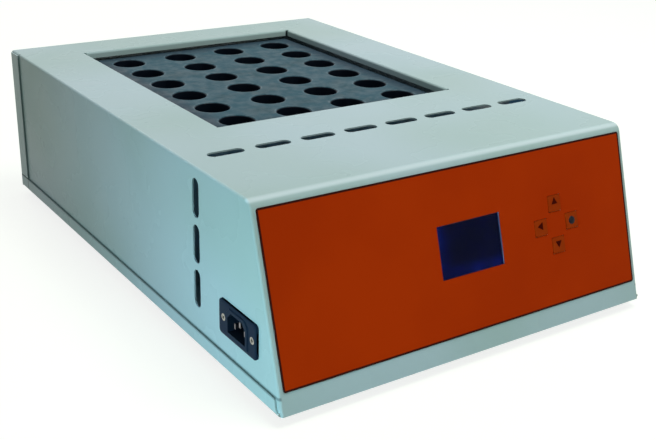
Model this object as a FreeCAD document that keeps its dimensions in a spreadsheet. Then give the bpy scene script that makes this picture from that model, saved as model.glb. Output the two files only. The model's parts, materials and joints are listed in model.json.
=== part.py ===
"""Block digester: a bench-top heater that holds 24 sample tubes in a drilled graphite block.

Frame: millimetres, origin on the bench under the middle of the case, +X to the right of someone
who faces the control panel, +Y towards the back, +Z up. The lengths that can be set by themselves are
rows of the sheet "sizes", the places worked out from them are properties of the set "layout", and every
piece takes its sizes from those two.
"""
import FreeCAD, Part

import os
import re

import Sketcher
from FreeCAD import Placement, Rotation, Units, Vector

SIZES = {
    # case
    "case_width": (350, "width over the lips of the base tray"),
    "case_depth": (510, "front edge of the base to the back"),
    "case_height": (140, "underside of the tray to the top of the cover"),
    "front_setback": (44, "how far the top of the control panel stands back"),
    "sheet": (1.2, "steel sheet of the case"),
    "sheet_gap": (0.2, "clearance where two sheets lap"),
    "lip_height": (12, "upturned sides of the base tray"),
    "lip_relief": (3, "gap between a lip and the front face"),
    "rear_lip": (20, "flanges of the rear panel along the sides"),
    "corner_gap": (1, "gap between a rear flange and the lip below it"),
    "return_width": (14, "inturned edges of the cover, tray and rear panel"),
    "front_bend": (8, "outside radius between top and control panel"),
    "edge_bend": (2, "outside radius of the other bends"),
    # opening over the block
    "opening_margin": (44, "opening to the back of the case"),
    "flange_depth": (6, "downturned rim of the opening"),
    "relief_radius": (1.6, "bend relief in each corner of the rim"),
    # ventilation slots
    "slot_length": (30, "punched slot, end to end"),
    "slot_width": (10, "punched slot, across"),
    "top_slot_pitch": (40, "between slots of the top row"),
    "top_slot_count": (8, "slots in the top row"),
    "top_slot_setback": (57.5, "top row in front of the opening"),
    "side_slot_pitch": (35.5, "between slots one above another"),
    "side_slot_count": (3, "slots one above another in each side"),
    "side_slot_setback": (119, "side slots behind the front edge of the base"),
    "side_slot_drop": (59, "middle of the side slots below the top"),
    "rear_slot_count": (7, "slots in the rear panel"),
    "rear_slot_height": (40, "rear slots above the tray"),
    "floor_slot_count": (5, "slots in the floor of the tray"),
    # feet
    "foot_height": (8, "rubber foot below the tray"),
    "foot_diameter": (24, "rubber foot where it meets the tray"),
    "foot_tip": (20, "rubber foot where it meets the bench"),
    "foot_bevel": (1.2, "bevel round the end of a foot"),
    "foot_inset": (24, "middle of a foot from the sides and ends of the case"),
    # graphite block
    "block_gap": (5, "block to the rim of the opening"),
    "block_margin_x": (13.25, "block beyond its outer bores, across"),
    "block_margin_y": (9.25, "block beyond its outer bores, front to back"),
    "block_recess": (7.5, "top of the block below the top of the cover"),
    "block_height": (62, "graphite block"),
    "block_bevel": (1, "bevel round the top of the block"),
    "well_diameter": (29.5, "bore for one tube"),
    "well_depth": (50, "straight part of a bore"),
    "well_point": (4, "cone at the bottom of a bore"),
    "well_bevel": (1, "bevel at the mouth of a bore"),
    "well_pitch_x": (55, "between bores across"),
    "well_pitch_y": (43, "between bores front to back"),
    "well_columns": (4, "bores across"),
    "well_rows": (6, "bores front to back"),
    # heater and insulation
    "heater_thickness": (10, "heating plate"),
    "heater_margin": (3, "heating plate inside the edge of the block"),
    "element_diameter": (6.5, "tubular heating element, cast into the plate"),
    "element_margin": (8, "turns of the element inside the edge of the plate"),
    "element_end": (14, "ends of the element beyond the liner"),
    "side_board_drop": (15, "top of the boards round the block below its top"),
    "bush_diameter": (12, "ceramic bushes of the element"),
    "bush_length": (8, "ceramic bushes of the element"),
    "floor_insulation": (28, "fibre board under the heater"),
    "wall_insulation": (20, "fibre board round the block"),
    "board_gap": (0.5, "clearance round insulation boards"),
    "liner_sheet": (1, "stainless sheet of the liner and bulkhead"),
    "liner_top_gap": (1.5, "top of the liner below the cover"),
    "pillar_diameter": (12, "pillars under the liner"),
    "pillar_inset": (22, "pillars from the edges of the liner"),
    "pillar_thread": (0.3, "thread of a pillar screw to the height of the pillar"),
    "block_bolt": (5, "bolts that hold the heater to the block"),
    "probe_diameter": (5, "sheath of the temperature probe"),
    "probe_depth": (60, "probe inside the block"),
    "probe_end_gap": (1, "end of the probe to the end of its bore"),
    "probe_collar": (10, "length of the probe's collar, and its diameter too"),
    "probe_lead": (4, "sleeve of the probe's lead beyond the collar"),
    "lead_diameter": (4, "sleeve of the probe's lead"),
    "cutout_diameter": (18, "rim of the safety cutout"),
    "cutout_rim": (2, "thickness of the rim"),
    "cutout_cap": (14, "cap of the safety cutout"),
    "cutout_height": (9, "height of the safety cutout"),
    "tab_width": (6.3, "push-on tabs"),
    "tab_thickness": (0.8, "push-on tabs"),
    "tab_length": (7, "push-on tabs"),
    "tab_pitch": (8, "between the tabs of the cutout"),
    "bulkhead_gap": (20, "bulkhead in front of the liner"),
    "bulkhead_foot": (12, "inturned foot of the bulkhead"),
    "bulkhead_side_gap": (1, "bulkhead and tray tabs to the inturned edges of the cover"),
    "bulkhead_gland": (15, "holes for leads in the bulkhead"),
    "bulkhead_vent_height": (24, "slots of the bulkhead above the tray"),
    "bulkhead_screw_pitch": (120, "between the screws of the bulkhead"),
    "bulkhead_screw_count": (3, "screws of the bulkhead"),
    # control panel
    "overlay_side": (5.5, "overlay inside the sides of the case"),
    "overlay_foot": (16, "overlay above the bottom edge of the panel"),
    "overlay_head": (6, "overlay below the top edge of the panel"),
    "overlay_thickness": (0.5, "printed overlay"),
    "overlay_corner": (2, "corner radius of the overlay"),
    "window_width": (60, "display window, across"),
    "window_height": (40, "display window, up the slope"),
    "display_x": (4, "middle of the display from the middle of the case"),
    "display_rise": (80, "middle of the display up the slope"),
    "keys_x": (91, "middle of the four keys from the middle of the case"),
    "keys_rise": (79.5, "middle of the four keys up the slope"),
    "key_reach": (16.5, "middle of the four keys to each key"),
    "key_size": (12.5, "square key cap"),
    "key_corner": (1.2, "corner radius of a key cap"),
    "key_gap": (0.3, "clearance round a key cap"),
    "key_rise": (0.4, "key cap above the overlay"),
    "key_skirt": (1.5, "skirt that keeps a key behind the panel"),
    "skirt_thickness": (1, "skirt that keeps a key behind the panel"),
    "key_travel": (0.8, "stroke of a key"),
    "stem_diameter": (4, "stem behind a key cap"),
    "plunger_diameter": (3.2, "plunger of a key switch"),
    "plunger_stand": (0.7, "plunger above its switch when pressed"),
    "plunger_seat": (0.4, "plunger above the board when pressed"),
    "switch_size": (6.2, "body of a key switch"),
    "switch_height": (4, "body of a key switch above the board"),
    "board_depth": (15, "face of the control board behind the panel's face"),
    "board_thickness": (1.6, "circuit boards"),
    "control_width": (165, "control board, across"),
    "control_height": (82, "control board, up the slope"),
    "board_margin": (5, "board fixings from the edges of a board"),
    "post_diameter": (6, "posts that carry a board"),
    "bezel_width": (5, "metal frame of the display beyond the window"),
    "bezel_sheet": (0.8, "metal frame of the display"),
    "glass_thickness": (2.8, "display glass"),
    # mains inlet
    "inlet_setback": (56, "middle of the inlet behind the front edge of the base"),
    "inlet_rise": (42, "middle of the inlet above the tray"),
    "inlet_width": (52, "flange of the inlet, front to back"),
    "inlet_height": (27, "flange of the inlet, upright"),
    "inlet_flange": (2.2, "thickness of the flange"),
    "inlet_corner": (5.5, "cut corners of the flange"),
    "inlet_bevel": (0.6, "bevel round the flange and its collar"),
    "collar_width": (30, "raised collar round the socket"),
    "collar_height": (22, "raised collar round the socket"),
    "collar_rise": (0.8, "raised collar above the flange"),
    "inlet_screw_pitch": (40, "between the two screws of the inlet"),
    "shroud_width": (28, "body of the inlet behind the flange"),
    "shroud_height": (20.5, "body of the inlet behind the flange"),
    "shroud_depth": (21, "body of the inlet behind the flange"),
    "socket_width": (24.4, "socket in the inlet"),
    "socket_height": (16, "socket in the inlet"),
    "socket_depth": (17, "socket in the inlet"),
    "socket_key": (4.5, "cut corners that key the socket"),
    "pin_width": (4, "blade of a pin"),
    "pin_thickness": (2, "blade of a pin"),
    "pin_pitch": (7, "middle pin to an outer pin"),
    "pin_offset": (2, "pins above and below the middle of the socket"),
    "pin_recess": (3, "ends of the pins behind the mouth"),
    "pin_tail": (7, "tails of the pins behind the body"),
    "screw_recess": (0.2, "countersunk heads below the face of the flange"),
    "inlet_gap": (0.3, "clearance round the body of the inlet"),
    # power parts, each set off the foot of the bulkhead
    "bay_gap": (6, "power parts to the foot of the bulkhead"),
    "power_width": (110, "power board, across"),
    "power_depth": (56, "power board, front to back"),
    "power_gap": (6, "power board to the terminal block"),
    "post_height": (6, "posts under the power board"),
    "core_width": (34, "transformer core, across"),
    "core_depth": (28, "transformer core, front to back"),
    "core_height": (30, "transformer core"),
    "core_limb": (6, "limbs of the core beside the winding"),
    "core_yoke": (4, "core above and below the winding"),
    "core_offset": (27.5, "transformer left of the middle of the power board"),
    "winding_depth": (40, "transformer winding, front to back"),
    "capacitor_diameter": (14, "capacitors of the power board"),
    "capacitor_height": (25, "capacitors of the power board"),
    "capacitor_pitch": (22, "between the capacitors"),
    "capacitor_offset": (9, "capacitors right of the middle of the power board"),
    "connector_width": (14, "connector of the power board, across"),
    "connector_depth": (36, "connector of the power board, front to back"),
    "connector_height": (10, "connector of the power board"),
    "connector_inset": (14, "middle of the connector from the edge of the board"),
    "sink_width": (90, "heat sink, across"),
    "sink_depth": (50, "heat sink, front to back"),
    "sink_base": (5, "heat sink, solid base"),
    "fin_height": (18, "heat sink fins"),
    "fin_thickness": (2, "heat sink fins"),
    "fin_count": (7, "heat sink fins"),
    "sink_foot": (8, "solid edges that the heat sink stands on"),
    "sink_gap": (35, "heat sink to the side of the case"),
    "relay_width": (58, "solid-state relay, across"),
    "relay_depth": (45, "solid-state relay, front to back"),
    "relay_height": (22, "solid-state relay"),
    "relay_ledge": (14.5, "ends of the relay that hold its terminals, across"),
    "relay_mouth": (31.5, "those ends, front to back"),
    "relay_drop": (7, "those ends below the top of the relay"),
    "relay_fixing": (7, "fixing screws of the relay from its ends"),
    "relay_clamp": (0.5, "terminal screws above their ledge"),
    "terminal_pitch": (14, "between ways of the terminal block"),
    "terminal_ways": (3, "ways of the terminal block"),
    "terminal_end": (2, "terminal block beyond its end ways"),
    "terminal_depth": (24, "terminal block, across its ways"),
    "terminal_height": (12, "terminal block under its screws"),
    "terminal_wall": (2, "walls between the ways"),
    "terminal_rise": (6, "walls between the ways above the screws"),
    "terminal_inset": (50, "middle of the terminal block from the side of the case"),
    "ear_width": (8, "ears of the terminal block"),
    "ear_height": (5, "ears of the terminal block"),
    "terminal_screw": (8, "shanks of the terminal block's screws"),
    "earth_inset": (23, "earth stud from the side of the case"),
    "earth_height": (14, "earth stud above the tray"),
    "stud_head": (1, "welded head of the earth stud"),
    # fasteners
    "screw_diameter": (4, "case screws"),
    "small_screw": (3, "screws of boards and inlet"),
    "hole_gap": (0.25, "radial clearance round a screw"),
    "thread_gap": (0.05, "radial clearance of a screw in its thread"),
    "head_ratio": (2, "screw head to screw diameter"),
    "head_height": (0.55, "height of a screw head to screw diameter"),
    "head_bevel": (0.2, "bevel of a screw head to screw diameter"),
    "head_gap": (1, "clearance round a sunk screw head"),
    "nut_ratio": (1.75, "nut across its flats to screw diameter"),
    "nut_height": (0.8, "height of a nut to screw diameter"),
    "thread_reach": (4, "end of a screw beyond the sheets or boards that it holds"),
    # cuts
    "overrun": (1, "how far an open cut runs past the face that it opens"),
}

LAYOUT = {
    # levels of the case
    "case_base": "foot_height",
    "case_top": "foot_height + case_height",
    "top_inside": "case_top - sheet",
    "tray_floor": "case_base + sheet",
    "cover_foot": "tray_floor + sheet_gap",
    "lip_top": "case_base + lip_height",
    "front_edge": "-case_depth / 2",
    "rear_face": "case_depth / 2",
    "cover_rear": "rear_face - sheet - sheet_gap",
    "cover_half": "case_width / 2 - sheet - sheet_gap",
    "inner_half": "cover_half - sheet",
    # leaning front: it stands back by lean for each unit of height
    "lean": "front_setback / case_height",
    "slope_length": "sqrt(case_height^2 + front_setback^2)",
    "front_tilt": "atan2(case_height; front_setback)",
    "front_wall": "sheet * slope_length / case_height",
    "tray_front": "front_edge + sheet * lean + front_wall + sheet_gap",
    # opening and block
    "block_width": "(well_columns - 1) * well_pitch_x + well_diameter + 2 * block_margin_x",
    "block_depth": "(well_rows - 1) * well_pitch_y + well_diameter + 2 * block_margin_y",
    "opening_width": "block_width + 2 * block_gap",
    "opening_depth": "block_depth + 2 * block_gap",
    "opening_y": "rear_face - opening_margin - opening_depth / 2",
    "block_top": "case_top - block_recess",
    "block_base": "block_top - block_height",
    "probe_level": "block_base + block_height / 2",
    "heater_base": "block_base - heater_thickness",
    "liner_floor": "heater_base - floor_insulation",
    "liner_base": "liner_floor - liner_sheet",
    "liner_top": "top_inside - liner_top_gap",
    "element_level": "heater_base + heater_thickness / 2",
    "liner_width": "block_width + 2 * (wall_insulation + 2 * board_gap + liner_sheet)",
    "liner_depth": "block_depth + 2 * (wall_insulation + 2 * board_gap + liner_sheet)",
    "pillar_height": "liner_base - tray_floor",
    "pillar_reach_x": "liner_width / 2 - pillar_inset",
    "pillar_reach_y": "liner_depth / 2 - pillar_inset",
    "bolt_reach_x": "well_pitch_x",
    "bolt_reach_y": "2 * well_pitch_y",
    "liner_front": "opening_y - liner_depth / 2",
    "bulkhead_y": "liner_front - bulkhead_gap",
    "inlet_mouth": "inlet_flange + collar_rise",
    # parts behind the control panel, seen square to it: depths are negative
    "board_face": "-board_depth",
    "board_back": "-board_depth - board_thickness",
    "control_x": "(display_x + keys_x) / 2",
    "control_rise": "(display_rise + keys_rise) / 2",
    "bezel_face": "-sheet - sheet_gap",
    "glass_face": "bezel_face - bezel_sheet - sheet_gap",
    "glass_back": "glass_face - glass_thickness",
    "skirt_face": "-sheet - sheet_gap",
    "plunger_top": "board_face + switch_height + key_travel + plunger_stand",
    "plunger_foot": "board_face + key_travel + plunger_seat",
    "overlay_width": "case_width - 2 * overlay_side",
    "overlay_height": "slope_length - overlay_foot - overlay_head",
    # floor of the control bay: terminals and power board from the left, heat sink from the right
    "bay_rear": "bulkhead_y - bulkhead_foot - bay_gap",
    "terminal_length": "terminal_pitch * terminal_ways + 2 * terminal_end",
    "ear_reach": "(terminal_length + ear_width) / 2",
    "terminal_x": "-case_width / 2 + terminal_inset",
    "terminal_y": "bay_rear - ear_reach - ear_width / 2",
    "power_x": "terminal_x + terminal_depth / 2 + power_gap + power_width / 2",
    "power_y": "bay_rear - power_depth / 2",
    "power_level": "tray_floor + post_height",
    "sink_x": "inner_half - sink_gap - sink_width / 2",
    "sink_y": "bay_rear - sink_depth / 2",
    "sink_reach_x": "sink_width / 2 - sink_foot / 2",
    "sink_reach_y": "sink_depth / 2 - sink_foot",
    "relay_level": "tray_floor + fin_height + sink_base",
    "ledge_level": "relay_level + relay_height - relay_drop",
    "relay_reach": "relay_width / 2 - relay_fixing",
    "earth_x": "-case_width / 2 + earth_inset",
}

doc = FreeCAD.newDocument("block_digester")


def fill_sheet():
    """Writes the lengths to the sheet, one row each: what it is, then the value under its alias."""
    table = doc.addObject("Spreadsheet::Sheet", "sizes")
    for row, (alias, (value, note)) in enumerate(SIZES.items(), start=1):
        table.set(f"A{row}", note)
        table.set(f"B{row}", str(value))
        table.setAlias(f"B{row}", alias)
    doc.recompute()
    return table


def refer(expression):
    """Turns the plain words of an expression into references to the sheet and the layout."""
    def reference(word):
        if word[0] in SIZES:
            return f"sizes.{word[0]}"
        return f"layout.{word[0]}" if word[0] in LAYOUT else word[0]
    return re.sub(r"[a-z_][a-z_0-9]*", reference, str(expression))


def fill_layout():
    """Adds each place to the layout as a property that follows the sheet."""
    places = doc.addObject("App::VarSet", "layout")
    for name, expression in LAYOUT.items():
        places.addProperty("App::PropertyFloat", name, "layout", expression)
        places.setExpression(name, refer(expression))
    doc.recompute()
    return places


sizes = fill_sheet()
layout = fill_layout()


def amount(expression):
    """The number that an expression gives with the present sizes."""
    def number(word):
        if word[0] in SIZES:
            return f"({float(sizes.get(word[0]))!r})"
        return f"({getattr(layout, word[0])!r})" if word[0] in LAYOUT else word[0]
    text = re.sub(r"[a-z_][a-z_0-9]*", number, str(expression))
    return Units.Quantity(text).Value


def place(piece, x="0", y="0", z="0", turn=None):
    """Puts a piece at a point, and turns it if asked."""
    piece.Placement = Placement(Vector(), turn or Rotation())
    for axis, expression in zip("xyz", (x, y, z)):
        piece.setExpression(f"Placement.Base.{axis}", refer(expression))


def lay_on_panel(piece, x="0", rise="0"):
    """Gives a piece the frame of the control panel: X across, Y up the slope, Z out of its face."""
    piece.Placement = Placement(Vector(), Rotation(Vector(1, 0, 0), amount("front_tilt")))
    piece.setExpression("Placement.Rotation.Angle", refer("front_tilt"))
    piece.setExpression("Placement.Base.x", refer(x))
    piece.setExpression("Placement.Base.y", refer(f"front_edge + ({rise}) * front_setback / slope_length"))
    piece.setExpression("Placement.Base.z", refer(f"case_base + ({rise}) * case_height / slope_length"))


def body(label):
    """A PartDesign body, which may hold several separate solids."""
    owner = doc.addObject("PartDesign::Body", label)
    owner.Label = label
    owner.AllowCompound = True
    return owner


def origin(owner, role):
    """A plane or an axis of the body's own origin."""
    return next(item for item in owner.Origin.OriginFeatures if item.Role == role)


def sketch(owner, role="XY_Plane", lift="0", shift_x="0", shift_y="0"):
    """An empty sketch on a plane of the body, moved along the plane and off it."""
    drawing = owner.newObject("Sketcher::SketchObject", f"{owner.Label}_sketch")
    drawing.AttachmentSupport = [(origin(owner, role), "")]
    drawing.MapMode = "FlatFace"
    for axis, expression in (("x", shift_x), ("y", shift_y), ("z", lift)):
        if expression != "0":
            drawing.setExpression(f"AttachmentOffset.Base.{axis}", refer(expression))
    return drawing


def panel_sketch(owner):
    """A sketch on the outside of the leaning front, with its origin at the bottom edge."""
    drawing = sketch(owner)
    drawing.AttachmentOffset = Placement(Vector(), Rotation(Vector(1, 0, 0), amount("front_tilt")))
    drawing.setExpression("AttachmentOffset.Rotation.Angle", refer("front_tilt"))
    drawing.setExpression("AttachmentOffset.Base.y", refer("front_edge"))
    drawing.setExpression("AttachmentOffset.Base.z", refer("case_base"))
    return drawing


def fix(drawing, kind, *ends, value):
    """Adds a dimension to a sketch and ties it to its expression."""
    index = drawing.addConstraint(Sketcher.Constraint(kind, *ends, amount(value)))
    drawing.setExpression(f"Constraints[{index}]", refer(value))


def polygon(drawing, corners):
    """Draws a closed outline through corners given as pairs of expressions."""
    points = [Vector(amount(x), amount(y), 0) for x, y in corners]
    ends = zip(points, points[1:] + points[:1])
    lines = [drawing.addGeometry(Part.LineSegment(start, end)) for start, end in ends]
    for line, following in zip(lines, lines[1:] + lines[:1]):
        drawing.addConstraint(Sketcher.Constraint("Coincident", line, 2, following, 1))
    for line, (x, y) in zip(lines, corners):
        fix(drawing, "DistanceX", line, 1, value=x)
        fix(drawing, "DistanceY", line, 1, value=y)
    return drawing


def rectangle(drawing, width, height, x="0", y="0"):
    """Draws a rectangle about its middle."""
    left, right = f"{x} - ({width}) / 2", f"{x} + ({width}) / 2"
    low, high = f"{y} - ({height}) / 2", f"{y} + ({height}) / 2"
    return polygon(drawing, [(left, low), (right, low), (right, high), (left, high)])


def circle(drawing, diameter, x="0", y="0"):
    """Draws a circle."""
    centre = Vector(amount(x), amount(y), 0)
    ring = drawing.addGeometry(Part.Circle(centre, Vector(0, 0, 1), amount(diameter) / 2))
    fix(drawing, "DistanceX", ring, 3, value=x)
    fix(drawing, "DistanceY", ring, 3, value=y)
    fix(drawing, "Diameter", ring, value=diameter)
    return drawing


def clear(size):
    """Diameter of the hole that a screw of this size passes through."""
    return f"{size} + 2 * hole_gap"


def tapped(size):
    """Diameter of the threaded hole for a screw of this size."""
    return f"{size} + 2 * thread_gap"


def slot(drawing, x, y, upright=False):
    """Draws a round-ended ventilation slot about its middle."""
    half_run, radius = amount("(slot_length - slot_width) / 2"), amount("slot_width / 2")
    middle = Vector(amount(x), amount(y), 0)
    along = Vector(0, 1, 0) if upright else Vector(1, 0, 0)
    turn = 90 if upright else 0
    across = Vector(-along.y, along.x, 0)
    arcs = []
    for end, first in ((1, -90), (-1, 90)):
        arc = Part.Circle(middle + along * half_run * end, Vector(0, 0, 1), radius)
        angles = [Units.Quantity(f"{first + turn + step} deg") for step in (0, 180)]
        start, stop = (angle.getValueAs("rad").Value for angle in angles)
        arcs.append(drawing.addGeometry(Part.ArcOfCircle(arc, start, stop)))
    tips = [middle + along * half_run * end + across * radius * side
            for end, side in ((1, 1), (-1, 1), (-1, -1), (1, -1))]
    top = drawing.addGeometry(Part.LineSegment(tips[0], tips[1]))
    low = drawing.addGeometry(Part.LineSegment(tips[2], tips[3]))
    for one, two in (((arcs[0], 2), (top, 1)), ((top, 2), (arcs[1], 1)), ((arcs[1], 2), (low, 1)),
                     ((low, 2), (arcs[0], 1))):
        drawing.addConstraint(Sketcher.Constraint("Tangent", *one, *two))
    for arc, sign in zip(arcs, "+-"):
        reach = f"{sign} (slot_length - slot_width) / 2"
        fix(drawing, "DistanceX", arc, 3, value=x if upright else f"{x} {reach}")
        fix(drawing, "DistanceY", arc, 3, value=f"{y} {reach}" if upright else y)
    fix(drawing, "Radius", arcs[0], value="slot_width / 2")
    return drawing


def feature(owner, kind, drawing, **values):
    """Adds a sketched feature to a body as its new tip."""
    made = owner.newObject(f"PartDesign::{kind}", f"{owner.Label}_{kind.lower()}")
    made.Profile = drawing
    for name, value in values.items():
        if name in ("Length", "Angle"):
            made.setExpression(name, refer(value))
        else:
            setattr(made, name, value)
    owner.Tip = made
    doc.recompute()
    return made


def pad(owner, drawing, length, both=False, down=False):
    """Adds material from a sketch."""
    side = "Symmetric" if both else "One side"
    return feature(owner, "Pad", drawing, Length=length, SideType=side, Reversed=down)


def pocket(owner, drawing, length, both=False, up=False):
    """Takes material away below a sketch, above it or both ways, and makes sure that it does."""
    before = owner.Shape.Volume
    side = "Symmetric" if both else "One side"
    made = feature(owner, "Pocket", drawing, Length=length, SideType=side, Reversed=up)
    if before - made.Shape.Volume < 0.01:
        raise RuntimeError(f"{made.Label} takes nothing away")
    return made


def revolve(owner, drawing, kind="Revolution"):
    """Turns a half profile about the upright axis of its sketch."""
    return feature(owner, kind, drawing, ReferenceAxis=(drawing, ["V_Axis"]), Angle="360")


def repeat(owner, original, *runs):
    """Repeats a feature in one or two directions, each an axis, a pitch and a count."""
    made = owner.newObject("PartDesign::LinearPattern", f"{owner.Label}_pattern")
    made.Originals = [original]
    for suffix, (axis, pitch, count) in zip(("", "2"), runs):
        setattr(made, f"Direction{suffix}", (origin(owner, axis), [""]))
        setattr(made, f"Mode{suffix}", "Spacing")
        made.setExpression(f"Offset{suffix}", refer(pitch))
        made.setExpression(f"Occurrences{suffix}", refer(count))
    owner.Tip = made
    doc.recompute()
    # A spacing of -1 stands for the pitch itself.
    made.Spacings2 = [-1.0] * (made.Occurrences2 - 1)
    doc.recompute()
    return made


def edges(shape, wanted):
    """Names of the edges whose bounding box meets a test."""
    return [f"Edge{index}" for index, edge in enumerate(shape.Edges, start=1) if wanted(edge.BoundBox)]


def soften(owner, radius, wanted, kind="Fillet"):
    """Rounds or bevels the edges of the body's tip that meet a test."""
    base = owner.Tip
    made = owner.newObject(f"PartDesign::{kind}", f"{owner.Label}_{kind.lower()}")
    made.Base = (base, edges(base.Shape, wanted))
    made.setExpression("Radius" if kind == "Fillet" else "Size", refer(radius))
    owner.Tip = made
    doc.recompute()
    return made


def near(one, other):
    """Whether two lengths are the same to a hundredth."""
    return abs(one - other) < 0.01


def upright(box):
    """Whether an edge with this bounding box is parallel to Z."""
    return box.XLength < 0.01 and box.YLength < 0.01 and box.ZLength > 0.01


def box(label, length, width, height, x, y, z):
    """A plain block standing on z, with its middle over x and y."""
    made = doc.addObject("Part::Box", label)
    made.Label = label
    for name, expression in (("Length", length), ("Width", width), ("Height", height)):
        made.setExpression(name, refer(expression))
    place(made, f"{x} - ({length}) / 2", f"{y} - ({width}) / 2", z)
    return made


def front_line(z, inset="0"):
    """Expression for the Y of the leaning front at a height, moved in by an inset."""
    return f"front_edge + ({z} - case_base) * lean + {inset}"


# ---------------------------------------------------------------- fasteners

def screws(label, size, shank, pitch_x, count_x, pitch_y, count_y, owner=None, at=("0", "0", "0")):
    """Pan-head screws on a grid: heads above the local XY plane, shanks below it."""
    owner = owner or body(label)
    head, crown = f"{size} * head_ratio / 2", f"{size} * head_height"
    profile = polygon(sketch(owner, "XZ_Plane", f"-({at[1]})", at[0], at[2]), [
        ("0", f"-({shank})"), (f"{size} / 2", f"-({shank})"), (f"{size} / 2", "0"), (head, "0"),
        (head, f"{crown} / 2"), (f"{head} - {size} * head_bevel", crown), ("0", crown)])
    turned = revolve(owner, profile)
    repeat(owner, turned, ("X_Axis", pitch_x, count_x), ("Y_Axis", pitch_y, count_y))
    return owner


def nuts(label, size, pitch_x, count_x, pitch_y, count_y):
    """Hexagon nuts on a grid, standing on the local XY plane."""
    owner = body(label)
    flats = f"{size} * nut_ratio"
    corner, half = f"{flats} / sqrt(3)", f"{flats} / 2"
    hexagon = [(f"-({corner})", "0"), (f"-({corner}) / 2", f"-({half})"), (f"({corner}) / 2", f"-({half})"),
               (corner, "0"), (f"({corner}) / 2", half), (f"-({corner}) / 2", half)]
    drawing = circle(polygon(sketch(owner), hexagon), tapped(size))
    solid = pad(owner, drawing, f"{size} * nut_height")
    repeat(owner, solid, ("X_Axis", pitch_x, count_x), ("Y_Axis", pitch_y, count_y))
    return owner


def posts(label, diameter, bore, height, pitch_x, pitch_y, columns="2", rows="2"):
    """Round posts with a threaded bore, on a grid, standing on the local XY plane."""
    owner = body(label)
    drawing = circle(circle(sketch(owner), diameter), tapped(bore))
    solid = pad(owner, drawing, height)
    repeat(owner, solid, ("X_Axis", pitch_x, columns), ("Y_Axis", pitch_y, rows))
    return owner


# ---------------------------------------------------------------- case

def key_places():
    """Middle of each key up, down, left and right of the middle of the four."""
    return {"up": ("keys_x", "keys_rise + key_reach"), "down": ("keys_x", "keys_rise - key_reach"),
            "left": ("keys_x - key_reach", "keys_rise"), "enter": ("keys_x + key_reach", "keys_rise")}


def panel_windows(drawing):
    """Draws the display window and the four key holes, which the cover and its overlay share."""
    rectangle(drawing, "window_width", "window_height", "display_x", "display_rise")
    for x, rise in key_places().values():
        rectangle(drawing, "key_size + 2 * key_gap", "key_size + 2 * key_gap", x, rise)
    return drawing


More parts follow.
